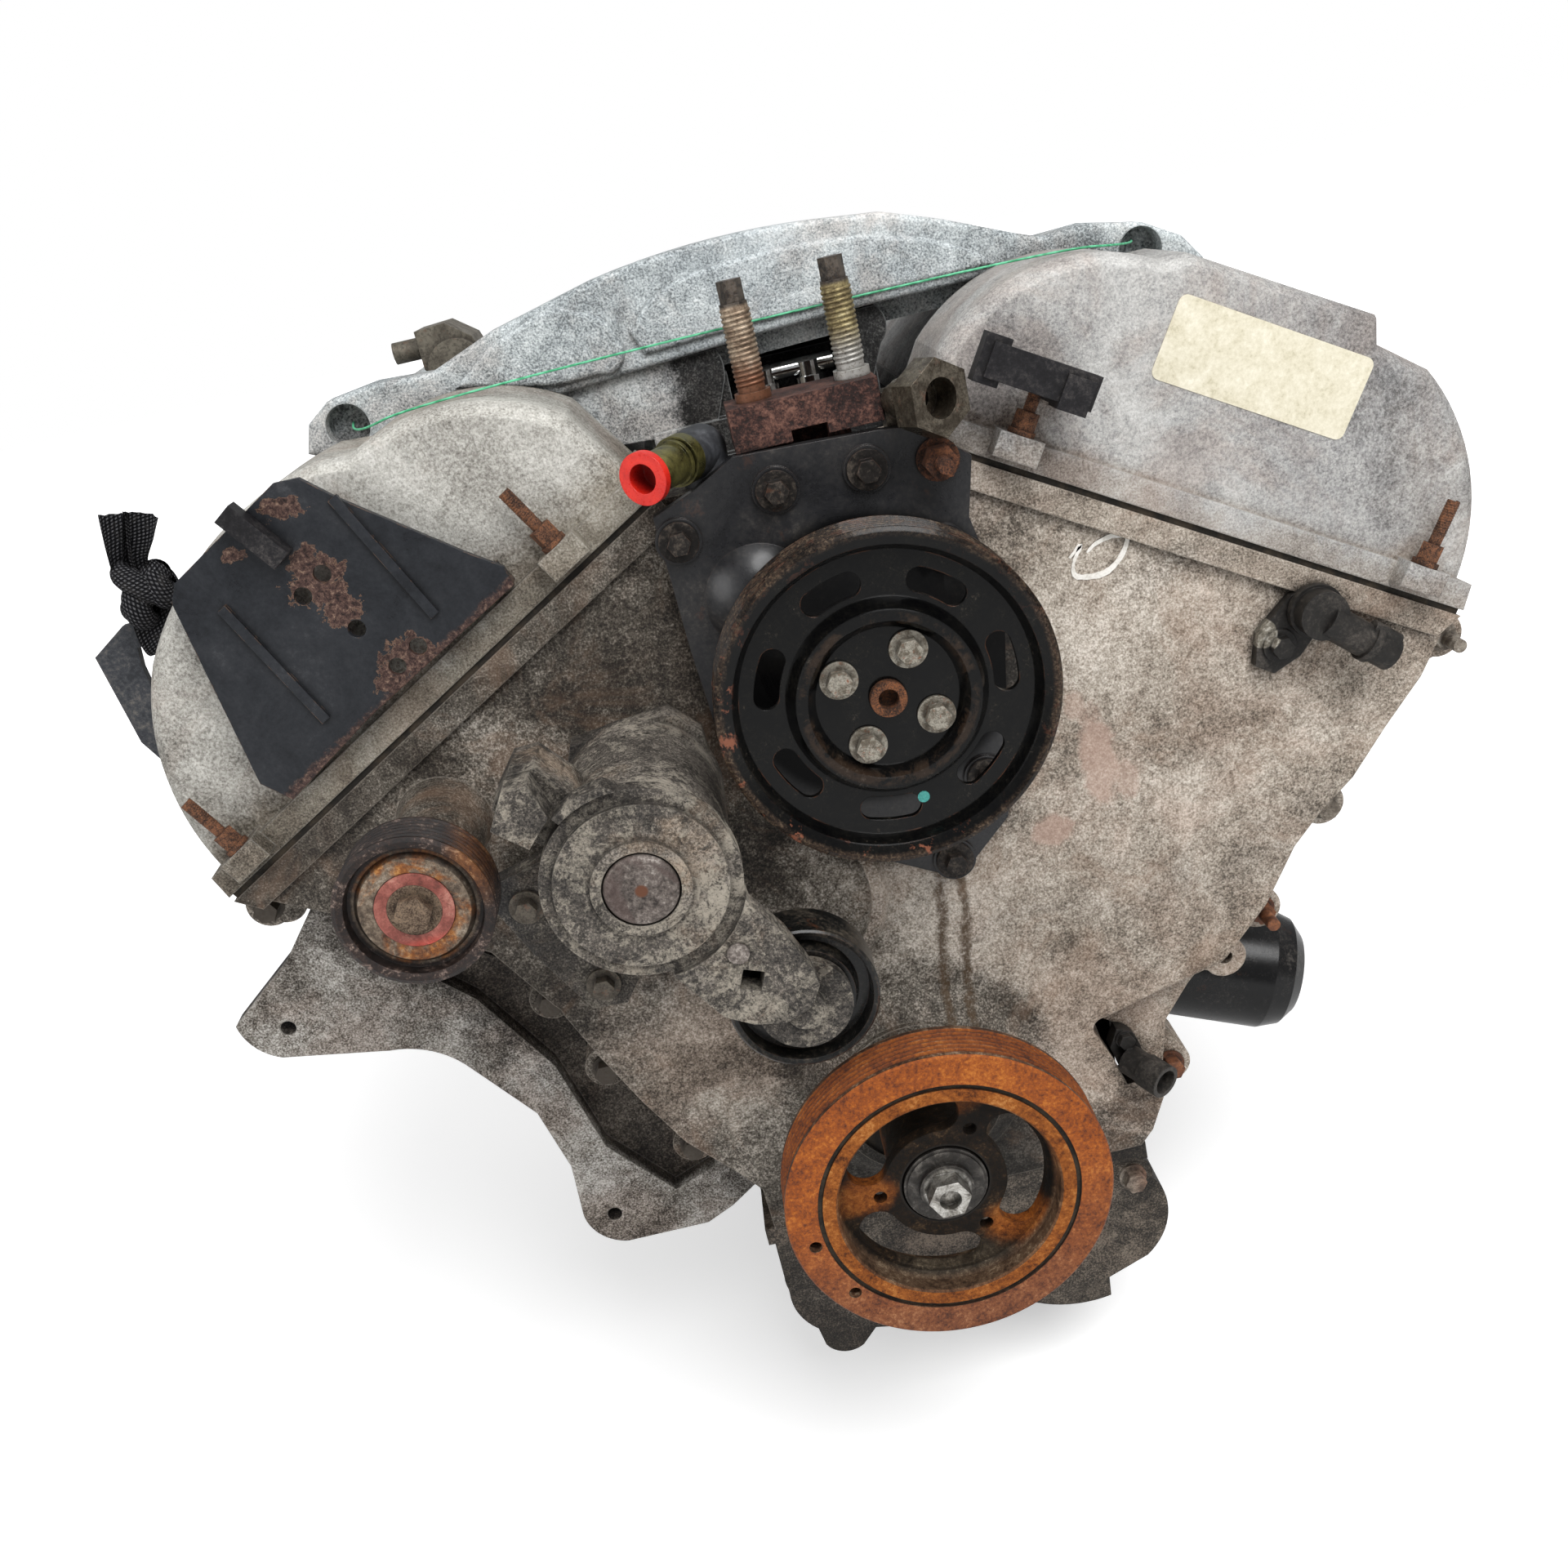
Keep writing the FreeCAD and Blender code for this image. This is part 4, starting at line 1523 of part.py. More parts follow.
STRING_ROUTE = [(-205.0, -345.0, 401.0), (-196.0, -405.0, 399.6), (-160.0, -412.0, 409.0), (145.0, -412.0, 411.0),
                (186.0, -406.0, 404.0), (201.0, -345.0, 401.0)]


def make_string():
    route = [Vector(*p) for p in STRING_ROUTE]
    edges = []
    start = route[0]
    for before, corner, after in zip(route, route[1:], route[2:]):
        into, out = corner - before, after - corner
        half_turn = into.getAngle(out) / 2
        shorter = min(into.Length, out.Length)
        reach = 0.45 * shorter
        radius = reach / math.tan(half_turn)
        print("string radius %.1f" % radius)
        into.normalize()
        out.normalize()
        first, last = corner - into * reach, corner + out * reach
        bisector = (out - into).normalize()
        middle = corner + bisector * (radius / math.cos(half_turn) - radius)
        edges.append(Part.LineSegment(start, first).toShape())
        edges.append(Part.Arc(first, middle, last).toShape())
        start = last
    edges.append(Part.LineSegment(start, route[-1]).toShape())
    path = Part.Wire(edges)
    heading = route[1] - route[0]
    section = Part.Wire([Part.makeCircle(N["string_radius"], route[0], heading)])
    tube = path.makePipeShell([section], True, True)
    share = tube.Volume / (math.pi * N["string_radius"] ** 2 * path.Length)
    print("string length %.0f mm, volume share %.3f" % (path.Length, share))
    solid("green_string", tube)


make_block()
make_lower_crankcase()
make_oil_pan()
make_crankshaft()
make_damper()
make_crank_bolt()
make_crank_seal()
for name, bank in (("left", LEFT), ("right", RIGHT)):
    make_head("cylinder_head_" + name, bank)
    make_valve_cover("valve_cover_" + name, bank)
    make_camshaft("intake_camshaft_" + name, bank, -1)
    make_camshaft("exhaust_camshaft_" + name, bank, 1)
    make_chain("timing_chain_" + name, bank)
make_crank_sprocket()
make_chain_guides()
make_cam_caps()
make_gaskets()
make_filler_cap()
cover_shape = make_timing_cover()
make_cover_bolts()
make_cover_studs()
make_pump_housing()
make_pump_pulley()
make_pump_rotor()
make_idler()
make_tensioner()
make_mount_block()
make_fittings()
make_coolant_tube()
make_intake()
make_runners()
make_fuel_rail()
make_bracket_plate()
make_clips()
make_lifting_eye()
make_strap()
make_sensors(cover_shape)
make_oil_filter()
make_accessory_bracket(cover_shape)
make_string()

doc.recompute()
for thing in doc.Objects:
    if "Invalid" in thing.State or "Error" in thing.State:
        raise RuntimeError("%s failed: %s" % (thing.Label, thing.State))
for thing in nodes:
    if thing.Shape.isNull() or not thing.Shape.isValid():
        raise RuntimeError("%s has no valid shape" % thing.Label)

os.makedirs("parts", exist_ok=True)
for thing in nodes:
    thing.Shape.exportStep("parts/%s.step" % thing.Label)
    print("%s: %d solid(s), %.0f mm3" % (thing.Label, len(thing.Shape.Solids), thing.Shape.Volume))
print("%d nodes" % len(nodes))
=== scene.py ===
"""Looks of a used V6 engine, seen from its accessory end.

Every size is in metres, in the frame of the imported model: X to the right, Y to the rear, Z up, crank axis on Y.
"""
import math
import random

import bmesh
import bpy
from mathutils import Matrix, Vector


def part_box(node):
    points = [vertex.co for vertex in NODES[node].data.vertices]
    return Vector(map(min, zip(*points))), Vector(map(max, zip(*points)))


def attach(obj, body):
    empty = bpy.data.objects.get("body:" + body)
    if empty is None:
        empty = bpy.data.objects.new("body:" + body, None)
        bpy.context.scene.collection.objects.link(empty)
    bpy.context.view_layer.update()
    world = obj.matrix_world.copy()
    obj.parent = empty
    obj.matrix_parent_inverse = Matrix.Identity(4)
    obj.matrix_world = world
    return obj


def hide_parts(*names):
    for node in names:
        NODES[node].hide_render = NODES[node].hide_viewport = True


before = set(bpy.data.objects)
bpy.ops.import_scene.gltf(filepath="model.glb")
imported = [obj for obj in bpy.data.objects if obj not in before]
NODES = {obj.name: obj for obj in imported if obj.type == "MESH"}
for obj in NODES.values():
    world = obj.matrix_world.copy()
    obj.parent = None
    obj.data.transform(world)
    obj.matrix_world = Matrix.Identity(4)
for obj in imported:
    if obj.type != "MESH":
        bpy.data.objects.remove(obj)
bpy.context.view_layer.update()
rng = random.Random(11)


def rgb(r, g, b):
    """Scene-linear colour of an 8-bit sRGB one."""
    def channel(c):
        c /= 255.0
        return c / 12.92 if c <= 0.04045 else ((c + 0.055) / 1.055) ** 2.4
    return channel(r), channel(g), channel(b), 1.0


# Camera, floor and lights.

def make_camera():
    data = bpy.data.cameras.new("camera")
    data.lens = 34.21
    data.sensor_width = 36.0
    data.clip_end = 50.0
    camera = bpy.data.objects.new("camera", data)
    right = Vector((0.97393975, -0.08004758, -0.21221154))
    up = Vector((0.2267693, 0.36070826, 0.90469069))
    back = Vector((0.00412815, -0.92923729, 0.36946045))
    turn = Matrix((right, up, back)).transposed().to_4x4()
    camera.matrix_world = Matrix.Translation((-0.0301, -1.1345, 0.4682)) @ turn
    bpy.context.scene.collection.objects.link(camera)
    bpy.context.scene.camera = camera


def make_lamp(name, place, target, size, power):
    data = bpy.data.lights.new(name, "AREA")
    data.shape = "DISK"
    data.size = size
    data.energy = power
    lamp = bpy.data.objects.new(name, data)
    lamp.location = place
    lamp.rotation_euler = (Vector(target) - Vector(place)).to_track_quat("-Z", "Y").to_euler()
    bpy.context.scene.collection.objects.link(lamp)


def make_world():
    """White for the camera; a softer grey dome for the light, brighter overhead."""
    world = bpy.data.worlds.new("studio")
    bpy.context.scene.world = world
    world.use_nodes = True
    tree = world.node_tree
    tree.nodes.clear()
    new, link = tree.nodes.new, tree.links.new
    output = new("ShaderNodeOutputWorld")
    mix = new("ShaderNodeMixShader")
    seen = new("ShaderNodeBackground")
    light = new("ShaderNodeBackground")
    path = new("ShaderNodeLightPath")
    place = new("ShaderNodeTexCoord")
    split = new("ShaderNodeSeparateXYZ")
    ramp = new("ShaderNodeValToRGB")
    share = new("ShaderNodeMath")
    share.operation = "MULTIPLY_ADD"
    share.use_clamp = True
    share.inputs[1].default_value = 0.12
    bright = new("ShaderNodeMath")
    bright.operation = "ADD"
    seen.inputs["Color"].default_value = (1, 1, 1, 1)
    light.inputs["Strength"].default_value = 0.62
    ramp.color_ramp.elements[0].position = 0.0
    ramp.color_ramp.elements[0].color = (0.42, 0.42, 0.43, 1)
    ramp.color_ramp.elements[1].position = 0.9
    ramp.color_ramp.elements[1].color = (1, 1, 1, 1)
    link(place.outputs["Generated"], split.inputs[0])
    link(split.outputs["Z"], ramp.inputs["Fac"])
    link(ramp.outputs["Color"], light.inputs["Color"])
    link(path.outputs["Is Glossy Ray"], bright.inputs[0])
    link(path.outputs["Is Transmission Ray"], bright.inputs[1])
    link(bright.outputs[0], share.inputs[0])
    link(path.outputs["Is Camera Ray"], share.inputs[2])
    link(share.outputs[0], mix.inputs["Fac"])
    link(light.outputs[0], mix.inputs[1])
    link(seen.outputs[0], mix.inputs[2])
    link(mix.outputs[0], output.inputs["Surface"])


def make_floor():
    """White floor under the oil pan, which keeps the shadow and goes white beyond it."""
    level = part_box("oil_pan")[0].z - 0.0005
    mesh = bpy.data.meshes.new("floor")
    half = 12.0
    mesh.from_pydata([(-half, -half, level), (half, -half, level), (half, half, level), (-half, half, level)], [],
            [(0, 1, 2, 3)])
    floor = bpy.data.objects.new("floor", mesh)
    bpy.context.scene.collection.objects.link(floor)
    material = bpy.data.materials.new("floor_white")
    material.use_nodes = True
    tree = material.node_tree
    tree.nodes.clear()
    new, link = tree.nodes.new, tree.links.new
    output = new("ShaderNodeOutputMaterial")
    add = new("ShaderNodeAddShader")
    diffuse = new("ShaderNodeBsdfDiffuse")
    glow = new("ShaderNodeEmission")
    path = new("ShaderNodeLightPath")
    strength = new("ShaderNodeMath")
    strength.operation = "MULTIPLY"
    place = new("ShaderNodeTexCoord")
    far = new("ShaderNodeVectorMath")
    far.operation = "LENGTH"
    fade = new("ShaderNodeMapRange")
    fade.interpolation_type = "SMOOTHSTEP"
    fade.inputs["From Min"].default_value = 0.3
    fade.inputs["From Max"].default_value = 2.0
    fade.inputs["To Min"].default_value = 0.42
    fade.inputs["To Max"].default_value = 0.95
    diffuse.inputs["Color"].default_value = (0.82, 0.82, 0.82, 1)
    link(place.outputs["Object"], far.inputs[0])
    link(far.outputs["Value"], fade.inputs["Value"])
    link(path.outputs["Is Camera Ray"], strength.inputs[0])
    link(fade.outputs["Result"], strength.inputs[1])
    link(strength.outputs[0], glow.inputs["Strength"])
    link(diffuse.outputs[0], add.inputs[0])
    link(glow.outputs[0], add.inputs[1])
    link(add.outputs[0], output.inputs["Surface"])
    floor.data.materials.append(material)


# Materials.

class Finish:
    """A node material written as a recipe: each method adds nodes and returns a socket."""

    def __init__(self, name, roughness=0.6, metallic=0, specular=0.5, bevel=0):
        self.material = bpy.data.materials.new(name)
        self.material.use_nodes = True
        self.tree = self.material.node_tree
        self.tree.nodes.clear()
        output = self.node("ShaderNodeOutputMaterial")
        self.shader = self.node("ShaderNodeBsdfPrincipled")
        self.tree.links.new(self.shader.outputs[0], output.inputs["Surface"])
        self.set("Roughness", roughness)
        self.set("Metallic", metallic)
        coordinates = self.node("ShaderNodeTexCoord")
        self.place = coordinates.outputs["Object"]
        self.facing = coordinates.outputs["Normal"]
        self.normal = None
        self.set("Specular IOR Level", specular)
        if bevel:
            self.rounded(bevel)

    def node(self, kind, **settings):
        made = self.tree.nodes.new(kind)
        for key, value in settings.items():
            setattr(made, key, value)
        return made

    def put(self, socket, value):
        if isinstance(value, bpy.types.NodeSocket):
            self.tree.links.new(value, socket)
        else:
            socket.default_value = value

    def set(self, name, value):
        self.put(self.shader.inputs[name], value)

    def math(self, operation, a, b=0):
        made = self.node("ShaderNodeMath", operation=operation)
        self.put(made.inputs[0], a)
        self.put(made.inputs[1], b)
        return made.outputs[0]

    def add(self, a, b):
        return self.math("ADD", a, b)

    def sub(self, a, b):
        return self.math("SUBTRACT", a, b)

    def mul(self, a, b):
        return self.math("MULTIPLY", a, b)

    def most(self, a, b):
        return self.math("MAXIMUM", a, b)

    def blend(self, cloud, cloud_weight, grit, grit_weight):
        """Two noises weighed together, about 0.5."""
        both = self.add(self.mul(self.sub(cloud, 0.5), cloud_weight), self.mul(self.sub(grit, 0.5), grit_weight))
        return self.add(both, 0.5)

    def noise(self, scale, detail=5, rough=0.6, distortion=0, offset=0, stretch=(1, 1, 1)):
        shift = self.node("ShaderNodeMapping")
        shift.inputs["Location"].default_value = (offset, offset * 0.7, offset * 1.3)
        shift.inputs["Scale"].default_value = stretch
        self.put(shift.inputs["Vector"], self.place)
        made = self.node("ShaderNodeTexNoise")
        made.inputs["Scale"].default_value = scale
        made.inputs["Detail"].default_value = detail
        made.inputs["Roughness"].default_value = rough
        made.inputs["Distortion"].default_value = distortion
        self.put(made.inputs["Vector"], shift.outputs[0])
        return made.outputs["Fac"]

    def step(self, value, low, high, out_low=0, out_high=1):
        """Value mapped smoothly from low..high to out_low..out_high, and held outside."""
        made = self.node("ShaderNodeMapRange", interpolation_type="SMOOTHSTEP")
        self.put(made.inputs["Value"], value)
        made.inputs["From Min"].default_value = low
        made.inputs["From Max"].default_value = high
        made.inputs["To Min"].default_value = out_low
        made.inputs["To Max"].default_value = out_high
        return made.outputs["Result"]

    def fall(self, value, low, high):
        """1 up to low, smoothly down to 0 at high."""
        return self.step(value, low, high, 1, 0)

    def mix(self, share, a, b, blend="MIX"):
        made = self.node("ShaderNodeMix", data_type="RGBA", blend_type=blend)
        self.put(made.inputs["Factor"], share)
        self.put(made.inputs[6], a)
        self.put(made.inputs[7], b)
        return made.outputs[2]

    def ramp(self, value, stops):
        """Colour ramp from (position, colour) stops."""
        made = self.node("ShaderNodeValToRGB")
        band = made.color_ramp
        while len(band.elements) < len(stops):
            band.elements.new(0.5)
        for element, (position, colour) in zip(band.elements, stops):
            element.position = position
            element.color = colour
        self.put(made.inputs["Fac"], value)
        return made.outputs["Color"]

    def tones(self, value, places, *tones):
        """Colour ramp from 8-bit tones at the given places."""
        return self.ramp(value, [(place, rgb(*tone)) for place, tone in zip(places, tones)])

    def axis(self, index, source=None):
        made = self.node("ShaderNodeSeparateXYZ")
        self.put(made.inputs[0], source if source is not None else self.place)
        return made.outputs[index]

    def radius(self, x, z):
        """Distance from an axis along Y through (x, z)."""
        dx = self.sub(self.axis(0), x)
        dz = self.sub(self.axis(2), z)
        return self.math("SQRT", self.add(self.mul(dx, dx), self.mul(dz, dz)))

    def spot(self, x, z, half_x, half_z, soft=0.5, ragged=0.5, scale=60, offset=0):
        """1 inside an ellipse about (x, z), 0 outside, with a ragged edge."""
        dx = self.math("DIVIDE", self.sub(self.axis(0), x), half_x)
        dz = self.math("DIVIDE", self.sub(self.axis(2), z), half_z)
        far = self.math("SQRT", self.add(self.mul(dx, dx), self.mul(dz, dz)))
        wobble = self.mul(self.sub(self.noise(scale, 6, 0.65, 0, offset), 0.5), ragged)
        return self.step(self.add(far, wobble), 1 - soft, 1 + soft * 0.4, 1, 0)

    def rounded(self, radius=0.0008):
        """Softened normal at the edges."""
        made = self.node("ShaderNodeBevel", samples=4)
        made.inputs["Radius"].default_value = radius
        self.normal = made.outputs[0]

    def edges(self, low=0.02, high=0.25):
        """1 along edges, 0 on the flats; comes after rounded()."""
        true = self.node("ShaderNodeNewGeometry").outputs["Normal"]
        dot = self.node("ShaderNodeVectorMath", operation="DOT_PRODUCT")
        self.put(dot.inputs[0], self.normal)
        self.put(dot.inputs[1], true)
        return self.step(self.sub(1, dot.outputs["Value"]), low, high)

    def corners(self, distance=0.012, low=0.35, high=0.95):
        """1 in deep corners, 0 in the open."""
        made = self.node("ShaderNodeAmbientOcclusion", samples=4, only_local=False)
        made.inputs["Distance"].default_value = distance
        return self.fall(made.outputs["AO"], low, high)

    def crevices(self, colour, distance, share, tone):
        """The colour with an 8-bit tone of dirt in its deep corners."""
        return self.mix(self.mul(self.corners(distance), share), colour, rgb(*tone))

    def bump(self, height, depth=0.0003, strength=1):
        made = self.node("ShaderNodeBump")
        made.inputs["Strength"].default_value = strength
        made.inputs["Distance"].default_value = depth
        self.put(made.inputs["Height"], height)
        if self.normal is not None:
            self.put(made.inputs["Normal"], self.normal)
        self.normal = made.outputs[0]

    def done(self, colour, roughness=None, metallic=None):
        self.set("Base Color", colour)
        if roughness is not None:
            self.set("Roughness", roughness)
        if metallic is not None:
            self.set("Metallic", metallic)
        if self.normal is not None:
            self.put(self.shader.inputs["Normal"], self.normal)
        return self.material


def shade(colour, factor):
    return colour[0] * factor, colour[1] * factor, colour[2] * factor, 1


SIN_BANK, COS_BANK = 0.5, 0.866025


def bank(side, w, v):
    """Point (x, z) of a bank: w across it, outwards, and v along it from the crank axis; side is -1 on the left."""
    return side * (SIN_BANK * v + COS_BANK * w), COS_BANK * v - SIN_BANK * w


def grain_tone(f, amount=1, offset=0, wide=1):
    """Height of a cast skin, about 0.5: broad clouds, sand grain and fine specks together."""
    parts = ((0.85 * wide, 9, 6, 0.62, 0.9, offset), (0.45 * wide, 46, 6, 0.65, 0.5, offset + 3),
            (0.35 * amount, 260, 3, 0.6, 0, offset + 5), (1.15 * amount, 900, 3, 0.75, 0, offset + 9))
    total = 0.5
    for weight, *settings in parts:
        total = f.add(f.mul(f.sub(f.noise(*settings), 0.5), weight), total)
    return total


SKIN_STOPS = (0.24, 0.43, 0.58, 0.78)
RUST_STOPS = (0.25, 0.45, 0.6, 0.8)
METAL_STOPS = (0.34, 0.48, 0.6, 0.72)
PUMP_AXIS = (0.019, 0.257)
IDLER_AXIS = (-0.2026, 0.212)


def skin(*tones):
    """Colours of a cast skin, from its pits to its high specks, at the stops of a ramp."""
    return [(stop, rgb(*tone)) for stop, tone in zip(SKIN_STOPS, tones)]


# Dark tones for dirt, and for painted shade.
FOUL_AND_SHADE = skin((24, 21, 18), (62, 56, 49), (98, 92, 83), (170, 162, 151))


def casting(name, clean, foul_and_shade=FOUL_AND_SHADE, amount=1, wide=1, soil_and_shade=None, marks=None, roughness=0.6, metallic=0.15, dirt=0.85,
        depth=0.0005, offset=0, tinted=0.3):
    """Sand-cast aluminium for a whole node. soil(f) says where dirt lies, and painted shade on some nodes; marks(f,
    colour) adds what is on it, painted shade among it on the timing cover.
    """
    f = Finish(name, roughness, metallic, specular=0.35, bevel=0.0014)
    tone = grain_tone(f, amount, offset, wide)
    # Dirt in the corners, and painted shade where the soil function gives it, both take the dark tones.
    grime_and_shade = f.mul(f.corners(0.014), dirt)
    if soil_and_shade:
        grime_and_shade = f.most(grime_and_shade, soil_and_shade(f))
    grime_and_shade = f.step(f.add(grime_and_shade, f.mul(f.sub(0.5, tone), 0.5)), 0.05, 0.9)
    colour = f.mix(grime_and_shade, f.ramp(tone, clean), f.ramp(tone, foul_and_shade))
    warm = f.step(f.noise(13, 6, 0.66, 0.8, offset + 20), 0.44, 0.62, 0, tinted)
    colour = f.mix(warm, colour, rgb(196, 158, 136), "MULTIPLY")
    cool = f.step(f.noise(10, 6, 0.66, 0.8, offset + 22), 0.5, 0.64, 0, tinted * 0.8)
    colour = f.mix(cool, colour, rgb(206, 210, 216), "MULTIPLY")
    if marks:
        colour = marks(f, colour)
    worn = f.mul(f.edges(), 0.4)
    colour = f.mix(worn, colour, clean[2][1])
    f.bump(tone, depth, 0.9)
    return f.done(colour, f.step(tone, 0.3, 0.7, roughness + 0.12, roughness - 0.06))


def rusted(name, bright, base, dark, spotted=0.5, scale=90, roughness=0.8, metallic=0.1, depth=0.0004, offset=0):
    """Rust in three tones with pitting."""
    f = Finish(name, roughness, metallic, specular=0.3, bevel=0.0006)
    cloud = f.noise(scale, 8, 0.75, 0.5, offset)
    grit = f.noise(scale * 8, 4, 0.8, 0, offset + 2)
    tone = f.blend(cloud, 1.3, grit, 1.5)
    colour = f.ramp(tone, [(0.2, shade(dark, 0.5)), (0.38, dark), (0.54, base),
            (0.8, tuple(a + (b - a) * (0.4 + spotted) for a, b in zip(base, bright)))])
    colour = f.crevices(colour, 0.006, 0.75, (26, 19, 15))
    f.bump(tone, depth, 0.8)
    return f.done(colour, f.step(grit, 0.3, 0.7, roughness - 0.15, roughness + 0.1))


def steel(name, base, tint, roughness=0.4, metallic=0.9, stained=0.4, rust=0.15, scale=120, offset=0):
    """Plated or bare steel, dulled, with stains and rusty pits."""
    f = Finish(name, roughness, metallic, bevel=0.0005)
    cloud = f.noise(scale, 7, 0.75, 0.3, offset)
    grit = f.noise(scale * 6, 4, 0.8, 0, offset + 4)
    colour = f.mix(f.step(cloud, 0.42, 0.6, 0, stained), base, tint)
    colour = f.mix(f.step(grit, 0.48, 0.6, 0, 0.6), colour, shade(tint, 0.6))
    spots = f.mul(f.step(f.noise(scale * 1.7, 8, 0.75, 0.2, offset + 7), 0.56, 0.66), rust)
    colour = f.mix(spots, colour, rgb(118, 64, 34))
    colour = f.crevices(colour, 0.005, 0.8, (30, 25, 21))
    f.bump(cloud, 0.00025, 0.6)
    f.bump(grit, 0.00015, 0.7)
    return f.done(colour, f.step(cloud, 0.3, 0.8, roughness - 0.08, roughness + 0.2),
            f.step(spots, 0, 0.5, metallic, 0.1))


def painted(name, base, dust, roughness=0.4, coat=0, dusty=0.5, rust=0, offset=0, specular=0.2, marks=None,
        gritty=1.5):
    """Black paint or moulded plastic under a film of dust."""
    f = Finish(name, roughness, 0, specular=specular, bevel=0.0007)
    cloud = f.noise(30, 7, 0.72, 0.5, offset)
    grit = f.noise(420, 5, 0.8, 0, offset + 4)
    tone = f.blend(cloud, 1.3, grit, gritty)
    top = tuple(a + (b - a) * dusty for a, b in zip(base, dust))
    colour = f.ramp(tone, [(0.25, shade(base, 0.6)), (0.48, base), (0.64, top), (0.85, dust)])
    if rust:
        spots = f.mul(f.step(f.noise(70, 9, 0.75, 0.3, offset + 7), 0.6, 0.66), rust)
        colour = f.mix(spots, colour, rgb(96, 62, 44))
        rim = f.mul(f.edges(), f.step(f.noise(110, 6, 0.7, 0, offset + 9), 0.42, 0.56))
        colour = f.mix(f.mul(rim, rust), colour, rgb(116, 82, 62))
    if marks:
        colour = marks(f, colour)
    colour = f.crevices(colour, 0.006, 0.7, (16, 14, 13))
    f.bump(grit, 0.00012, 0.6)
    f.set("Coat Weight", coat)
    f.set("Coat Roughness", 0.14)
    return f.done(colour, f.step(cloud, 0.3, 0.8, roughness - 0.08, roughness + 0.2))


def painted_shade_behind_pulley(f, colour):
    """Painted shade, dark, on the pump housing where the pulley keeps the light off, with the specular turned low
    there.
    """
    r = f.radius(0.023, 0.247)
    f.set("Specular IOR Level", f.step(r, 0.068, 0.077, 0.02, 0.35))
    return f.mix(f.step(r, 0.068, 0.077, 0.9, 0), colour, rgb(6, 6, 6))


def dress(material, *names):
    """Gives CAD nodes their material."""
    for name in names:
        data = NODES[name].data
        data.materials.clear()
        data.materials.append(material)


def ragged(f, scale, offset, amount):
    """Noise about zero that breaks up the border of a patch."""
    return f.mul(f.sub(f.noise(scale, 7, 0.74, 0.4, offset), 0.5), amount)


def along_bank(f, side):
    """Distance from the crank axis, along a bank."""
    return f.add(f.mul(f.axis(0), SIN_BANK * side), f.mul(f.axis(2), COS_BANK))


def cover_soil_and_shade(f):
    """The timing cover is black on its left half, below the pump and along the bottom, and has painted shade behind
    the damper and behind the pump pulley.
    """
    across = f.add(f.axis(0), ragged(f, 20, 1, 0.24))
    left = f.fall(across, -0.10, 0.095)
    pale = f.most(f.mul(f.spot(-0.105, 0.045, 0.085, 0.065, 0.7, 0.9, 30, 2), 0.72),
            f.mul(f.spot(-0.15, 0.255, 0.075, 0.03, 0.8, 1, 30, 4), 0.25))
    soil_and_shade = f.mul(left, f.sub(1, pale))
    soil_and_shade = f.most(soil_and_shade, f.mul(f.spot(0.02, 0.148, 0.075, 0.022, 0.7, 0.7, 45, 8), 0.9))
    soil_and_shade = f.most(soil_and_shade, f.mul(f.spot(0.172, 0.256, 0.04, 0.018, 0.9, 1, 30, 5), 0.45))
    soil_and_shade = f.most(soil_and_shade, f.mul(f.spot(0.09, 0.30, 0.05, 0.03, 0.9, 1, 30, 15), 0.3))
    # Painted shade on the cover behind the damper.
    damper = f.add(f.radius(0, 0), ragged(f, 60, 35, 0.02))
    soil_and_shade = f.most(soil_and_shade, f.step(damper, 0.066, 0.090, 0.9, 0))
    # Painted shade on the cover behind the pump pulley, seen through its slots.
    soil_and_shade = f.most(soil_and_shade, f.fall(f.radius(0.025, 0.236), 0.068, 0.086))
    low = f.add(f.axis(2), ragged(f, 24, 17, 0.16))
    return f.most(soil_and_shade, f.step(low, -0.085, -0.01, 0.95, 0))


def cover_marks(f, colour):
    """Pinkish patches right of the pump, shade behind pulley and damper, and two oil runs below the pump."""
    for x, z, half_x, half_z, share, seed in ((0.126, 0.165, 0.010, 0.028, 0.6, 6),
            (0.097, 0.131, 0.012, 0.009, 0.6, 7), (0.139, 0.150, 0.007, 0.012, 0.45, 8),
            (0.118, 0.196, 0.006, 0.008, 0.4, 9)):
        colour = f.mix(f.mul(f.spot(x, z, half_x, half_z, 0.3, 1.1, 110, seed), share), colour, rgb(186, 157, 142))
    hidden = f.step(f.radius(0.027, 0.230), 0.060, 0.084, 0.8, 0)
    colour = f.mix(hidden, colour, rgb(12, 11, 10))
    low = f.step(f.radius(0.004, -0.066), 0.050, 0.078, 0.8, 0)
    colour = f.mix(low, colour, rgb(20, 18, 15))
    for x, lean, seed in ((0.031, 0.13, 11), (0.043, 0.10, 13)):
        line = f.sub(f.axis(0), f.mul(f.sub(f.axis(2), 0.09), lean))
        away = f.math("ABSOLUTE", f.sub(f.add(line, ragged(f, 55, seed, 0.014)), x))
        streak = f.mul(f.fall(away, 0.0010, 0.0040), f.fall(f.axis(2), 0.125, 0.14))
        streak = f.mul(streak, f.step(f.noise(300, 5, 0.8, 0, seed + 1), 0.36, 0.56, 0.35, 0.9))
        colour = f.mix(streak, colour, rgb(74, 56, 36))
    warm = f.mul(f.step(f.noise(16, 6, 0.7, 0.6, 19), 0.5, 0.66), 0.22)
    return f.mix(warm, colour, rgb(160, 128, 104))


def left_dome_soil(f):
    """Brown wash by the joint of the left cover and beside the pressed plate."""
    low = f.add(along_bank(f, -1), ragged(f, 22, 21, 0.05))
    return f.step(low, 0.336, 0.372, 0.85, 0.1)


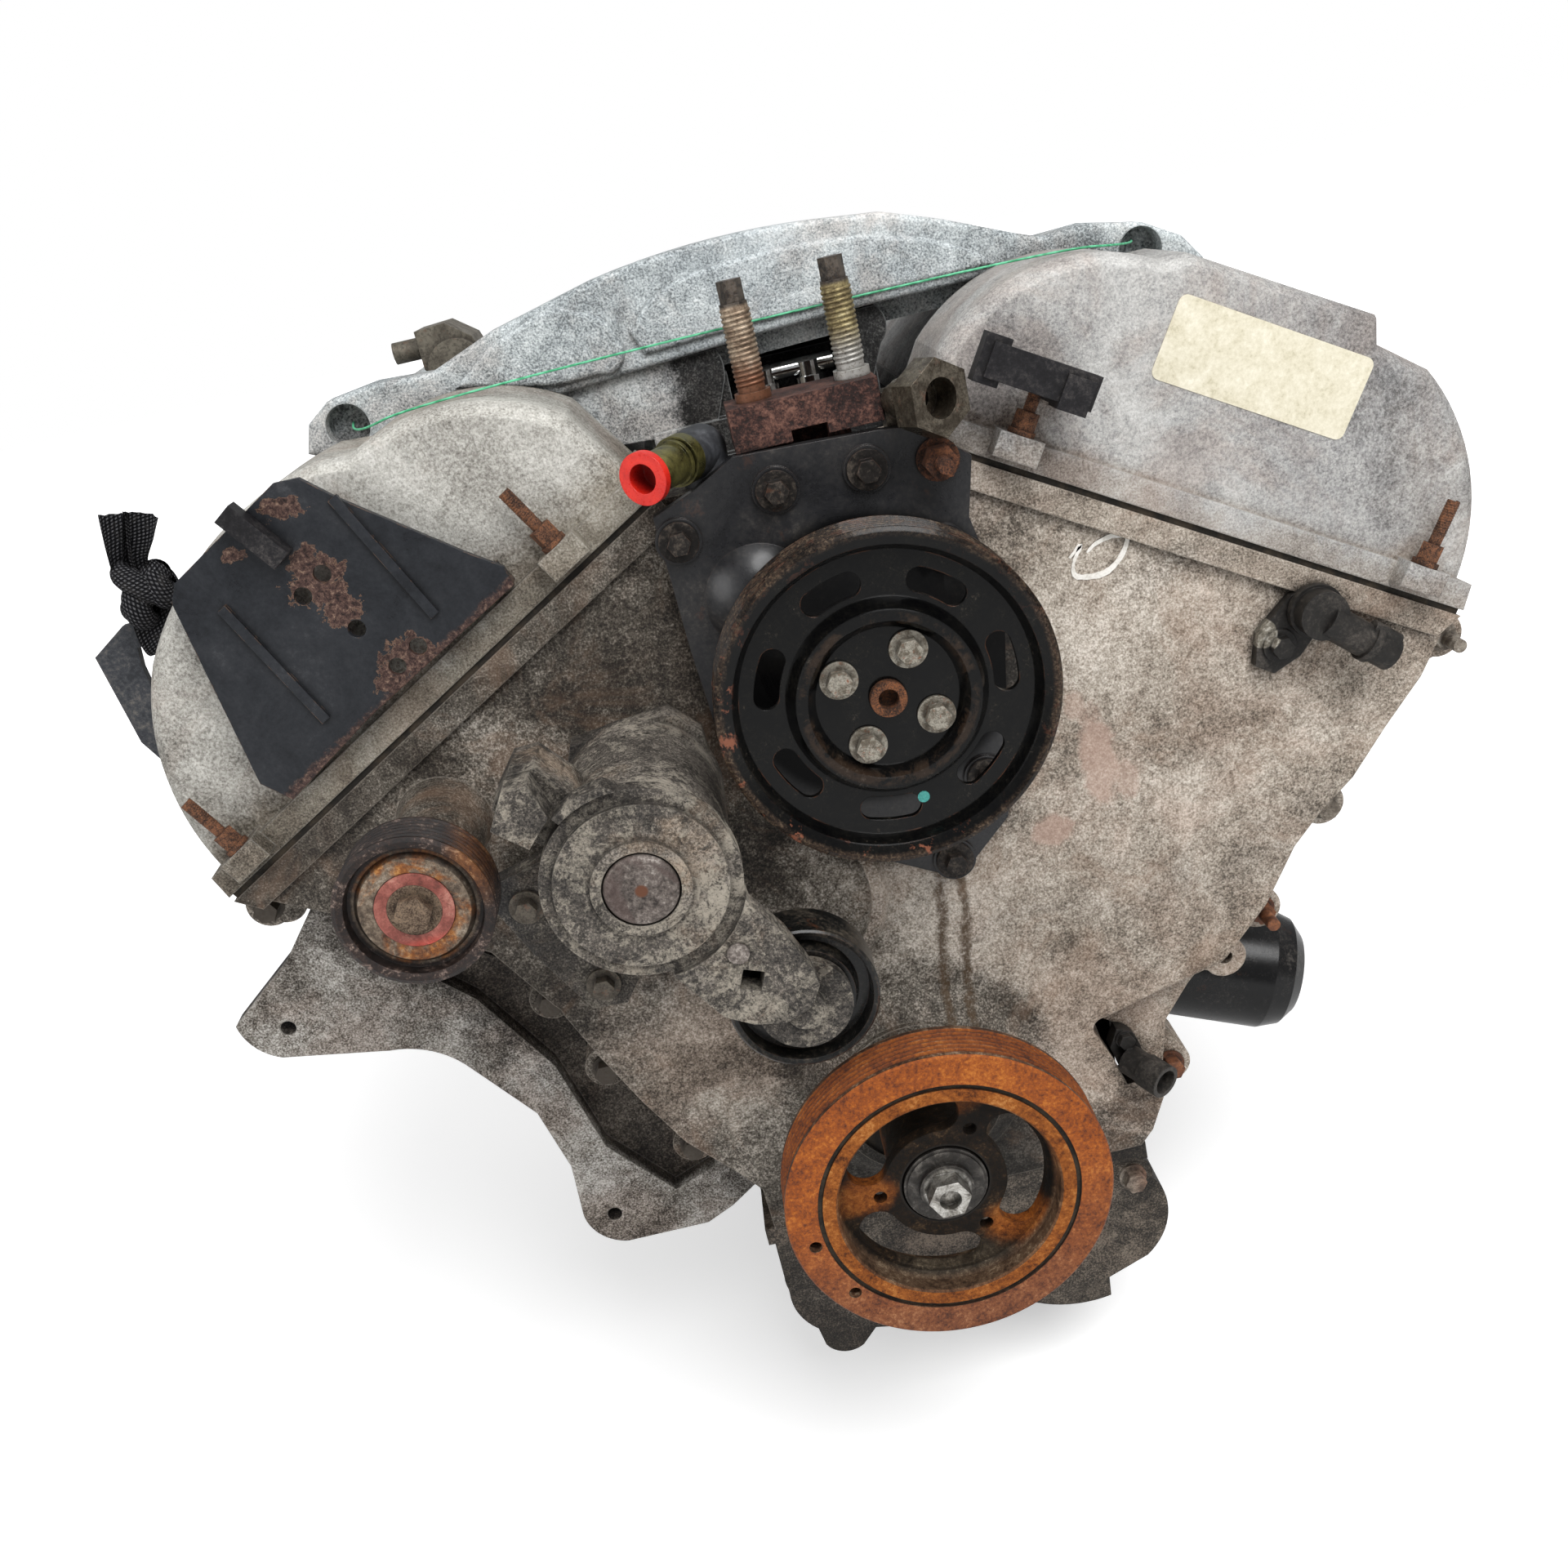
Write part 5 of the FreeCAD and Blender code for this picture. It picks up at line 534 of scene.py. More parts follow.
def right_dome_soil(f):
    """Brownish stains on the outer half of the right cover."""
    low = f.add(along_bank(f, 1), ragged(f, 22, 23, 0.05))
    joint = f.step(low, 0.333, 0.352, 0.6, 0)
    outer = f.step(f.add(f.axis(0), ragged(f, 18, 25, 0.3)), 0.2, 0.34, 0, 0.35)
    return f.most(joint, outer)


def box_painted_shade(f):
    """Painted shade on the lower intake boxes: they keep their clean tones on the far left and go black in the vee.
    """
    return f.step(f.add(f.axis(0), ragged(f, 26, 37, 0.02)), -0.052, -0.034, 0.1, 1)


def bracket_painted_shade(f):
    """Painted shade on the inner part of the accessory bracket, deeper back and towards the cover; its rim keeps its
    clean tones.
    """
    depth = f.step(f.add(f.axis(1), ragged(f, 30, 27, 0.02)), -0.399, -0.388)
    near = f.add(f.add(f.axis(0), f.mul(f.axis(2), 0.9)), ragged(f, 24, 29, 0.1))
    return f.most(depth, f.step(near, -0.215, -0.13, 0, 0.8))


def sensor_bolt(f, colour):
    """The bolt of the camshaft sensor is dirty zinc."""
    cloud = f.noise(260, 6, 0.78, 0, 43)
    zinc = f.tones(cloud, (0.34, 0.5, 0.64), (60, 55, 47), (128, 122, 110), (196, 192, 182))
    return f.mix(f.fall(f.radius(0.214, 0.213), 0.0068, 0.0076), colour, zinc)


def plate_rust(f, colour):
    """Rust round the two groups of holes in the pressed plate and beside its clip."""
    patch = 0
    for x, z, half_x, half_z, seed in ((-0.219, 0.346, 0.013, 0.010, 1), (-0.213, 0.331, 0.008, 0.011, 2),
            (-0.191, 0.301, 0.012, 0.010, 3), (-0.224, 0.381, 0.009, 0.005, 4), (-0.252, 0.366, 0.005, 0.003, 5),
            (-0.201, 0.293, 0.008, 0.008, 6), (-0.222, 0.357, 0.006, 0.006, 7)):
        patch = f.most(patch, f.spot(x, z, half_x, half_z, 0.1, 3.2, 170, seed))
    cloud = f.noise(420, 6, 0.8, 0.3, 7)
    rust = f.tones(cloud, (0.38, 0.47, 0.55, 0.68), (26, 19, 18), (62, 45, 41), (86, 65, 58), (146, 122, 104))
    colour = f.mix(patch, colour, rust)
    fringe = f.mul(f.step(patch, 0, 0.5), f.fall(patch, 0.5, 1))
    colour = f.mix(f.mul(fringe, 0.6), colour, rgb(140, 108, 84))
    low = f.add(along_bank(f, -1), ragged(f, 300, 33, 0.010))
    colour = f.mix(f.step(low, 0.3495, 0.3520, 0.85, 0), colour, rust)
    chips = f.mul(f.edges(0.01, 0.12), f.step(f.noise(90, 6, 0.75, 0, 8), 0.5, 0.56))
    return f.mix(chips, colour, rgb(112, 86, 66))


def make_materials():
    dress(casting("cover_casting", skin((84, 76, 67), (150, 139, 126), (186, 176, 163), (228, 220, 210)),
            soil_and_shade=cover_soil_and_shade, marks=cover_marks), "timing_cover")
    dress(casting("left_dome_casting", skin((92, 89, 83), (150, 147, 140), (184, 182, 175), (216, 214, 208)),
            skin((44, 39, 33), (104, 97, 86), (138, 131, 118), (176, 170, 158)), 0.85, 0.8, left_dome_soil, offset=2),
            "valve_cover_left")
    dress(casting("right_dome_casting", skin((98, 97, 97), (150, 149, 148), (180, 179, 176), (210, 209, 206)),
            skin((62, 54, 47), (126, 116, 106), (156, 146, 135), (186, 178, 168)), 0.8, 0.9, right_dome_soil,
            offset=4), "valve_cover_right")
    dress(casting("intake_casting", skin((112, 118, 120), (172, 179, 181), (204, 210, 211), (236, 240, 240)),
            skin((44, 43, 43), (98, 98, 97), (132, 133, 133), (176, 178, 178)), 1.2, 1, offset=6, dirt=0.5),
            "intake_manifold")
    # The intake boxes' second skin colours their painted shade in the vee and the dirt in their corners.
    dress(casting("intake_box_casting", skin((128, 131, 131), (186, 190, 190), (214, 217, 216), (240, 242, 241)),
            skin((14, 14, 14), (32, 32, 32), (52, 52, 51), (96, 96, 94)), 1.2, 1, box_painted_shade, offset=7, dirt=0.25),
            "intake_runners")
    # The bracket's second skin colours its painted shade and the dirt in its corners.
    dress(casting("bracket_casting", skin((56, 50, 43), (122, 116, 108), (164, 160, 153), (210, 206, 200)),
            skin((20, 18, 16), (48, 43, 38), (74, 67, 60), (120, 112, 102)), 1.2, 1.3, bracket_painted_shade, offset=8,
            depth=0.0008), "accessory_bracket")
    dress(casting("block_casting", skin((18, 16, 14), (46, 41, 36), (72, 65, 58), (116, 106, 96)), offset=10,
            roughness=0.7), "cylinder_block", "cylinder_head_left", "cylinder_head_right", "lower_crankcase",
            "cam_bearing_caps")
    dress(casting("pan_casting", skin((12, 10, 9), (34, 30, 25), (60, 53, 45), (116, 106, 94)), offset=12, wide=1.4,
            roughness=0.5, metallic=0.05), "oil_pan", "oil_filter_housing")
    dress(corroded("tensioner_base_casting", 14, 0.52, True), "tensioner_base")
    dress(corroded("tensioner_arm_casting", 16, 0.50), "tensioner_arm")

    dress(damper_ring_finish(), "damper_ring")
    dress(damper_hub_finish(), "damper_hub")
    dress(crank_bolt_finish(), "crank_bolt")
    dress(rubber("damper_rubber_black", rgb(34, 31, 27)), "damper_rubber", "crank_front_seal", "valve_cover_gaskets")

    dress(pulley_finish(), "pump_pulley")
    dress(rusted("pump_shaft_rust", rgb(148, 92, 56), rgb(104, 66, 44), rgb(54, 36, 27), 0.5, 160), "pump_shaft")
    dress(steel("zinc_bolts", rgb(160, 155, 143), rgb(86, 76, 62), 0.42, 0.5, 0.85, 1, 240), "pump_pulley_bolts")
    # The housing's marks are painted shade behind the pump pulley.
    dress(painted("pump_black", rgb(34, 34, 36), rgb(78, 74, 70), 0.3, 0.1, 0.2, 0.2, gritty=0.8, specular=0.35,
            marks=painted_shade_behind_pulley), "water_pump_housing")
    dress(painted("pump_bolt_black", rgb(36, 33, 31), rgb(96, 87, 78), 0.42, 0, 0.4, 0.4, 3), "water_pump_bolts")

    dress(idler_finish(), "idler_pulley")
    dress(idler_seal_finish(), "idler_seal")
    dress(rusted("idler_bolt_rust", rgb(158, 132, 106), rgb(116, 100, 84), rgb(72, 56, 44), 0.4, 150, 0.65, 0.3),
            "idler_bolt")
    dress(cap_finish(), "tensioner_caps")
    dress(painted("roller_black", rgb(22, 22, 21), rgb(88, 80, 70), 0.32, 0.2, 0.3, 0.4, 5), "tensioner_pulley")
    dress(steel("bracket_bolts", rgb(104, 96, 84), rgb(62, 55, 47), 0.6, 0.2, 0.7, 0.4, 160, 6), "tensioner_bolts")
    dress(cover_bolt_finish(), "timing_cover_bolts")

    dress(rusted("mount_block_rust", rgb(128, 92, 78), rgb(80, 52, 45), rgb(42, 26, 23), 0.5, 60, 0.6, 0.1, 0.0006,
            4), "mount_block")
    dress(stud_finish(), "mount_studs")
    dress(steel("plated_brown", rgb(118, 110, 97), rgb(58, 50, 41), 0.3, 0.8, 0.8, 0.3, 110, 9), "hex_fitting")
    dress(steel("vent_brown", rgb(116, 110, 98), rgb(70, 64, 55), 0.5, 0.4, 0.7, 0.3, 90, 19), "vent_valve")
    dress(rusted("ground_stud_rust", rgb(140, 88, 58), rgb(90, 58, 43), rgb(46, 32, 27), 0.5, 140, 0.75, 0.2, 0.0003,
            5), "ground_stud")
    dress(rusted("cover_stud_rust", rgb(156, 104, 70), rgb(108, 74, 55), rgb(58, 42, 34), 0.5, 200, 0.8, 0.15, 0.0002,
            6), "valve_cover_studs")
    dress(tube_finish(), "coolant_tube")
    dress(cap_red_finish(), "red_cap")
    dress(chrome_finish(), "fuel_rail")

    dress(painted("plate_black", rgb(36, 38, 42), rgb(62, 63, 66), 0.34, 0, 0.2, 0, 7, 0.25, plate_rust, 0.7),
            "cover_bracket_plate")
    dress(painted("clip_black", rgb(33, 32, 34), rgb(78, 74, 72), 0.5, 0, 0.3, 0, 8), "wiring_clips",
            "oil_filler_cap")
    dress(painted("sensor_black", rgb(36, 34, 32), rgb(88, 82, 76), 0.5, 0, 0.35, 0, 9, 0.25, sensor_bolt, 1),
            "cam_sensor", "crank_sensor")
    dress(painted("eye_grey", rgb(58, 60, 64), rgb(104, 100, 95), 0.48, 0, 0.3, 0.2, 10), "lifting_eye")
    dress(painted("filter_black", rgb(12, 12, 13), rgb(72, 68, 64), 0.24, 0.1, 0.15, 0.15, 11, 0.25), "oil_filter")
    dress(steel("forged_dark", rgb(128, 122, 114), rgb(78, 70, 62), 0.38, 0.85, 0.5, 0.15, 60, 12), "crankshaft",
            "intake_camshaft_left", "intake_camshaft_right", "exhaust_camshaft_left", "exhaust_camshaft_right",
            "crank_sprocket")
    dress(chain_finish(), "timing_chain_left", "timing_chain_right")
    dress(painted("guide_plastic", rgb(66, 50, 36), rgb(96, 80, 60), 0.4, 0, 0.3, 0, 13), "chain_guides")


def corroded(name, offset, crusted, slate=False):
    """Aluminium gone dark, with fine pale crusts of corrosion; slate keeps the left part smooth and dark."""
    f = Finish(name, 0.7, 0.1, specular=0.3, bevel=0.0009)
    tone = grain_tone(f, 1.1, offset, 1.3)
    crust = f.add(f.mul(f.noise(34, 8, 0.72, 0.6, offset + 11), 0.6),
            f.mul(f.noise(300, 6, 0.8, 0, offset + 12), 0.4))
    dark = f.ramp(tone, skin((26, 24, 22), (64, 60, 56), (92, 86, 79), (150, 142, 132)))
    brown = f.ramp(tone, skin((40, 33, 27), (92, 79, 66), (124, 108, 92), (168, 152, 134)))
    colour = f.mix(f.step(f.noise(14, 6, 0.7, 0.6, offset + 8), 0.5, 0.64, 0, 0.8), dark, brown)
    pale = f.mul(f.step(crust, crusted - 0.01, crusted + 0.02), f.step(tone, 0.35, 0.6, 0.3, 0.75))
    colour = f.mix(pale, colour, rgb(166, 158, 144))
    pits = f.step(f.noise(150, 6, 0.75, 0.4, offset + 15), 0.56, 0.62, 0, 0.75)
    colour = f.mix(pits, colour, rgb(34, 31, 28))
    if slate:
        left = f.step(f.add(f.axis(0), ragged(f, 60, 41, 0.02)), -0.182, -0.170, 0.85, 0)
        colour = f.mix(left, colour, f.ramp(tone, skin((26, 26, 26), (48, 47, 47), (62, 60, 58), (128, 122, 113))))
    colour = f.crevices(colour, 0.008, 0.85, (26, 22, 19))
    worn = f.mul(f.edges(), f.step(crust, 0.44, 0.56, 0.1, 0.7))
    colour = f.mix(worn, colour, rgb(150, 144, 134))
    f.bump(f.add(tone, f.mul(pale, 0.6)), 0.0007, 0.8)
    return f.done(colour, f.step(crust, 0.4, 0.6, 0.55, 0.8))


def damper_ring_finish():
    """Orange rust on the face, redder low down, dark brown in the grooves."""
    f = Finish("damper_ring_rust", 0.6, 0, specular=0.3, bevel=0.0007)
    cloud = f.noise(60, 9, 0.76, 0.3, 1)
    grit = f.noise(520, 5, 0.82, 0, 3)
    tone = f.blend(cloud, 1.1, grit, 1.3)
    high = f.tones(tone, RUST_STOPS, (72, 32, 10), (128, 62, 15), (153, 79, 20), (186, 112, 42))
    low = f.tones(tone, RUST_STOPS, (50, 27, 16), (100, 54, 30), (124, 74, 44), (156, 110, 78))
    face = f.mix(f.step(f.add(f.axis(2), ragged(f, 30, 5, 0.05)), -0.075, 0.02), low, high)
    side = f.tones(tone, RUST_STOPS, (24, 16, 12), (64, 42, 30), (104, 74, 52), (168, 146, 122))
    band = f.math("ABSOLUTE", f.math("SINE", f.mul(f.axis(1), 880)))
    side = f.mix(f.step(band, 0, 0.6, 0.75, 0), side, rgb(24, 16, 12))
    front = f.fall(f.axis(1, f.facing), -0.7, -0.4)
    colour = f.mix(front, side, face)
    colour = f.crevices(colour, 0.004, 0.7, (30, 19, 13))
    f.bump(tone, 0.0003, 0.8)
    return f.done(colour, f.step(grit, 0.3, 0.7, 0.5, 0.74))


def damper_hub_finish():
    """Orange on the rim, dark oily brown on the web with orange patches, grey dust low down."""
    f = Finish("damper_hub_rust", 0.66, 0, specular=0.15, bevel=0.0007)
    cloud = f.noise(70, 9, 0.76, 0.4, 5)
    grit = f.noise(480, 5, 0.82, 0, 7)
    tone = f.blend(cloud, 1.2, grit, 1.1)
    r = f.radius(0, 0)
    oily = f.tones(tone, RUST_STOPS, (7, 5, 4), (20, 15, 10), (36, 26, 17), (84, 66, 46))
    rust = f.tones(tone, RUST_STOPS, (64, 32, 12), (122, 66, 24), (148, 86, 34), (180, 124, 68))
    dust = f.tones(tone, RUST_STOPS, (30, 25, 19), (58, 50, 40), (78, 69, 57), (132, 120, 102))
    patch = 0
    for x, z, half_x, half_z, share, seed in ((0.035, -0.033, 0.020, 0.016, 0.95, 2),
            (-0.041, 0.004, 0.017, 0.013, 0.85, 3), (0.010, 0.046, 0.018, 0.009, 0.4, 4)):
        patch = f.most(patch, f.mul(f.spot(x, z, half_x, half_z, 0.5, 1.1, 80, seed), share))
    web = f.mix(patch, oily, rust)
    web = f.mix(f.mul(f.spot(0, -0.055, 0.055, 0.018, 0.6, 0.7, 60, 5), 0.8), web, dust)
    wall = f.step(r, 0.0530, 0.0552)
    front = f.fall(f.axis(1, f.facing), -0.9, -0.6)
    wall_rust = f.step(f.add(f.axis(2), ragged(f, 50, 45, 0.06)), -0.03, 0.03, 0.12, 0.65)
    colour = f.mix(wall, web, f.mix(f.most(front, wall_rust), dust, rust))
    colour = f.mix(f.fall(r, 0.0225, 0.0235), colour, rgb(34, 31, 28))
    colour = f.crevices(colour, 0.012, 0.9, (14, 10, 7))
    f.bump(tone, 0.0003, 0.8)
    return f.done(colour, f.step(grit, 0.3, 0.7, 0.5, 0.75))


def crank_bolt_finish():
    """Dark oily washer with a worn grey rim, and a bright scarred head."""
    f = Finish("crank_bolt_steel", 0.42, 0.8, bevel=0.0006)
    r = f.radius(0, 0)
    cloud = f.noise(130, 8, 0.78, 0.5, 13)
    grit = f.noise(600, 4, 0.8, 0, 15)
    oily = f.tones(cloud, (0.35, 0.5, 0.62, 0.74), (30, 28, 26), (54, 51, 48), (94, 90, 85), (142, 138, 130))
    bright = f.tones(cloud, (0.34, 0.46, 0.6, 0.72), (64, 60, 56), (150, 146, 139), (214, 212, 206), (240, 238, 233))
    head = f.fall(r, 0.0108, 0.0125)
    colour = f.mix(head, oily, bright)
    colour = f.mix(f.step(grit, 0.5, 0.62, 0, 0.4), colour, rgb(58, 52, 46))
    colour = f.crevices(colour, 0.005, 0.85, (20, 18, 16))
    f.bump(cloud, 0.0006, 0.8)
    return f.done(colour, f.step(cloud, 0.3, 0.7, 0.5, 0.28), f.step(head, 0, 1, 0.45, 0.95))


def rubber(name, base):
    f = Finish(name, 0.75, specular=0.25)
    grit = f.noise(700, 3, 0.6)
    colour = f.mix(f.step(f.noise(60, 7, 0.75), 0.42, 0.62), base, rgb(62, 54, 44))
    f.bump(grit, 0.0001, 0.5)
    return f.done(colour, f.step(grit, 0.3, 0.7, 0.65, 0.85))


def pulley_finish():
    """Glossy black paint; brown worn edges, rust at some slot ends and chips on the rim."""
    f = Finish("pump_pulley_black", 0.14, 0, specular=0.12, bevel=0.0010)
    r = f.radius(*PUMP_AXIS)
    cloud = f.noise(60, 8, 0.74, 0.4, 31)
    grit = f.noise(700, 4, 0.8, 0, 33)
    black = f.tones(f.add(f.mul(f.sub(grit, 0.5), 0.8), cloud), (0.3, 0.5, 0.66, 0.84), (5, 5, 6), (9, 9, 9),
            (18, 17, 15), (78, 70, 62))
    brown = f.tones(grit, (0.35, 0.5, 0.65), (20, 15, 12), (48, 37, 29), (100, 84, 68))
    rim = f.mul(f.step(r, 0.0700, 0.0722), f.step(cloud, 0.42, 0.54, 0.25, 0.9))
    colour = f.mix(rim, black, brown)
    low = f.step(f.add(f.axis(0), f.mul(f.axis(2), 0.8)), 0.17, 0.21, 1, 0.15)
    chips = f.mul(f.step(f.noise(62, 9, 0.75, 0.2, 41), 0.56, 0.6), f.step(r, 0.066, 0.069))
    colour = f.mix(f.mul(chips, low), colour, rgb(120, 74, 56))
    ends = f.mul(f.edges(0.05, 0.3), f.step(f.noise(38, 5, 0.7, 0, 43), 0.5, 0.58))
    ends = f.mul(ends, f.step(r, 0.044, 0.047))
    colour = f.mix(f.mul(ends, 0.8), colour, rgb(112, 72, 50))
    ring = f.mul(f.step(r, 0.0315, 0.0345), f.fall(r, 0.0375, 0.0395))
    colour = f.mix(f.mul(f.mul(ring, f.step(cloud, 0.48, 0.58)), 0.35), colour, rgb(66, 50, 38))
    f.bump(grit, 0.00008, 0.5)
    f.set("Coat Weight", 0.12)
    f.set("Coat Roughness", 0.05)
    return f.done(colour, f.add(f.step(cloud, 0.3, 0.8, 0.1, 0.28), f.mul(rim, 0.3)))


def idler_finish():
    """Rusty grooved rim with a worn purple-brown sheen, dark inside, orange rust on the bearing cup."""
    x, z = IDLER_AXIS
    f = Finish("idler_rust", 0.45, 0.3, bevel=0.0006)
    r = f.radius(x, z)
    cloud = f.noise(90, 8, 0.76, 0.4, 51)
    grit = f.noise(480, 5, 0.82, 0, 53)
    tone = f.blend(cloud, 1.2, grit, 1.3)
    rim = f.tones(tone, RUST_STOPS, (12, 8, 7), (30, 21, 18), (50, 36, 30), (140, 122, 112))
    orange = f.tones(tone, RUST_STOPS, (64, 32, 12), (116, 66, 26), (144, 88, 38), (188, 138, 78))
    upper = f.mul(f.spot(x + 0.030, z + 0.016, 0.010, 0.018, 0.7, 1, 60, 6), 0.55)
    rim = f.mix(upper, rim, orange)
    bare = f.tones(tone, RUST_STOPS, (52, 42, 34), (94, 80, 66), (122, 108, 92), (166, 154, 138))
    cup = f.mix(f.step(f.noise(40, 6, 0.7, 0.5, 57), 0.46, 0.58), orange, bare)
    colour = f.mix(f.step(r, 0.0272, 0.0285), cup, rim)
    colour = f.crevices(colour, 0.009, 0.92, (12, 8, 7))
    f.bump(tone, 0.0003, 0.8)
    return f.done(colour, f.step(grit, 0.3, 0.7, 0.34, 0.62))


def idler_seal_finish():
    """Faded pink seal, redder low down, with dirt worked into it."""
    f = Finish("idler_seal_pink", 0.55, specular=0.35)
    grit = f.noise(520, 5, 0.8, 0, 61)
    wear = f.noise(100, 8, 0.76, 0.3, 63)
    colour = f.tones(wear, (0.34, 0.46, 0.58, 0.7), (84, 44, 38), (130, 70, 61), (156, 95, 84), (186, 136, 120))
    colour = f.mix(f.step(f.axis(2), 0.193, 0.2, 0.6, 0), colour, rgb(196, 58, 42))
    colour = f.mix(f.step(grit, 0.5, 0.62, 0, 0.65), colour, rgb(98, 56, 46))
    f.bump(grit, 0.0001, 0.6)
    return f.done(colour, f.step(wear, 0.3, 0.7, 0.45, 0.7))


def cap_finish():
    """Dark steel caps with a purple-brown bloom, pale wear and a rusty dimple in the large one."""
    f = Finish("cap_steel", 0.45, 0.35, bevel=0.0005)
    cloud = f.noise(55, 9, 0.78, 0.8, 71)
    grit = f.noise(420, 5, 0.82, 0, 73)
    tone = f.blend(cloud, 1.1, grit, 1.4)
    colour = f.tones(tone, (0.22, 0.42, 0.58, 0.8), (42, 36, 33), (82, 74, 69), (112, 103, 97), (172, 164, 156))
    bloom = f.step(f.noise(26, 6, 0.7, 0.8, 75), 0.5, 0.62, 0, 0.6)
    colour = f.mix(bloom, colour, rgb(78, 62, 58))
    dimple = f.fall(f.radius(-0.102, 0.206), 0.0022, 0.0034)
    colour = f.mix(dimple, colour, rgb(96, 58, 38))
    colour = f.crevices(colour, 0.004, 0.85, (26, 22, 19))
    f.bump(f.sub(tone, dimple), 0.0003, 0.6)
    return f.done(colour, f.step(cloud, 0.3, 0.7, 0.36, 0.58))


def cover_bolt_finish():
    """Bolts of the timing cover: dirty zinc, and orange rust on those low on the right."""
    f = Finish("cover_bolts", 0.55, 0.35, bevel=0.0005)
    cloud = f.noise(160, 8, 0.78, 0.3, 81)
    grit = f.noise(800, 4, 0.8, 0, 83)
    zinc = f.tones(cloud, METAL_STOPS, (62, 54, 46), (116, 107, 96), (158, 150, 138), (204, 199, 190))
    rust = f.tones(cloud, METAL_STOPS, (54, 34, 26), (104, 64, 44), (142, 90, 58), (176, 130, 96))
    low = f.fall(f.axis(2), 0.055, 0.075)
    right = f.step(f.axis(0), 0.1, 0.13)
    colour = f.mix(f.mul(low, right), zinc, rust)
    dirty = f.step(f.axis(0), -0.10, -0.02, 0.88, 0)
    colour = f.mix(dirty, colour, rgb(56, 49, 41))
    colour = f.mix(f.step(grit, 0.5, 0.64, 0, 0.55), colour, rgb(58, 47, 38))
    colour = f.crevices(colour, 0.004, 0.85, (26, 21, 17))
    f.bump(grit, 0.0002, 0.7)
    return f.done(colour, f.step(cloud, 0.3, 0.7, 0.48, 0.72))


def stud_finish():
    """Dull yellow plating, a dark tip, and zinc or rust at the foot."""
    f = Finish("stud_plating", 0.42, 0.55, bevel=0.0003)
    z = f.axis(2)
    cloud = f.noise(150, 8, 0.78, 0.2, 91)
    grit = f.noise(800, 4, 0.8, 0, 93)
    yellow = f.tones(cloud, METAL_STOPS, (72, 60, 42), (126, 112, 78), (164, 150, 108), (206, 196, 160))
    beige = f.tones(cloud, METAL_STOPS, (84, 64, 52), (146, 126, 106), (184, 166, 144), (222, 208, 190))
    brass = f.mix(f.step(f.axis(0), 0.01, 0.02), beige, yellow)
    tip = f.mix(f.step(cloud, 0.42, 0.58), rgb(44, 40, 38), rgb(96, 88, 80))
    foot = f.mix(f.step(f.axis(0), 0.01, 0.02), rgb(124, 82, 60), rgb(176, 174, 169))
    colour = f.mix(f.step(z, 0.385, 0.402), foot, brass)
    colour = f.mix(f.step(z, 0.4185, 0.4205), colour, tip)
    colour = f.mix(f.step(grit, 0.5, 0.62, 0, 0.6), colour, rgb(76, 60, 44))
    colour = f.crevices(colour, 0.002, 0.7, (34, 27, 21))
    f.bump(grit, 0.0001, 0.7)
    return f.done(colour, f.step(cloud, 0.3, 0.7, 0.36, 0.6))


def tube_finish():
    """Olive plated tube in front, dusty black hose behind it."""
    f = Finish("tube_and_hose", 0.35, bevel=0.0004)
    cloud = f.noise(70, 8, 0.76, 0.4, 101)
    grit = f.noise(600, 4, 0.8, 0, 103)
    axis = Vector((-0.5218, -0.8530, 0))
    along = f.node("ShaderNodeVectorMath", operation="DOT_PRODUCT")
    f.put(along.inputs[0], f.place)
    along.inputs[1].default_value = axis
    mouth = Vector((-0.063, -0.472, 0.3605)).dot(axis)
    tube = f.step(along.outputs["Value"], mouth - 0.0368, mouth - 0.0362)
    olive = f.tones(cloud, METAL_STOPS, (48, 46, 26), (92, 88, 48), (128, 122, 70), (172, 166, 116))
    hose = f.tones(cloud, (0.36, 0.5, 0.62, 0.74), (30, 31, 34), (50, 52, 56), (76, 78, 82), (118, 118, 118))
    colour = f.mix(tube, hose, olive)
    colour = f.mix(f.step(grit, 0.54, 0.66, 0, 0.4), colour, rgb(38, 35, 30))
    colour = f.crevices(colour, 0.008, 0.7, (20, 19, 17))
    f.bump(grit, 0.00015, 0.5)
    return f.done(colour, f.sub(f.step(cloud, 0.3, 0.7, 0.5, 0.68), f.mul(tube, 0.26)), f.mul(tube, 0.6))


def cap_red_finish():
    """Glossy red plastic, dustier and scuffed here and there."""
    f = Finish("cap_red", 0.3, bevel=0.0006)
    grit = f.noise(500, 4, 0.75, 0, 111)
    cloud = f.noise(60, 7, 0.74, 0.3, 113)
    colour = f.tones(cloud, (0.32, 0.48, 0.62, 0.76), (168, 22, 16), (206, 32, 20), (224, 46, 28), (232, 92, 70))
    colour = f.crevices(colour, 0.012, 0.7, (94, 10, 10))
    f.bump(grit, 0.00006, 0.5)
    f.set("Subsurface Weight", 0.06)
    f.set("Subsurface Radius", (0.004, 0.001, 0.001))
    return f.done(colour, f.step(grit, 0.3, 0.7, 0.24, 0.42))


def chrome_finish():
    f = Finish("chrome", 0.1, 1)
    cloud = f.noise(110, 7, 0.75, 0.2, 121)
    colour = f.tones(cloud, (0.36, 0.52, 0.66), (214, 216, 218), (186, 186, 184), (112, 106, 98))
    f.bump(cloud, 0.0001, 0.3)
    return f.done(colour, f.step(cloud, 0.4, 0.75, 0.07, 0.34))


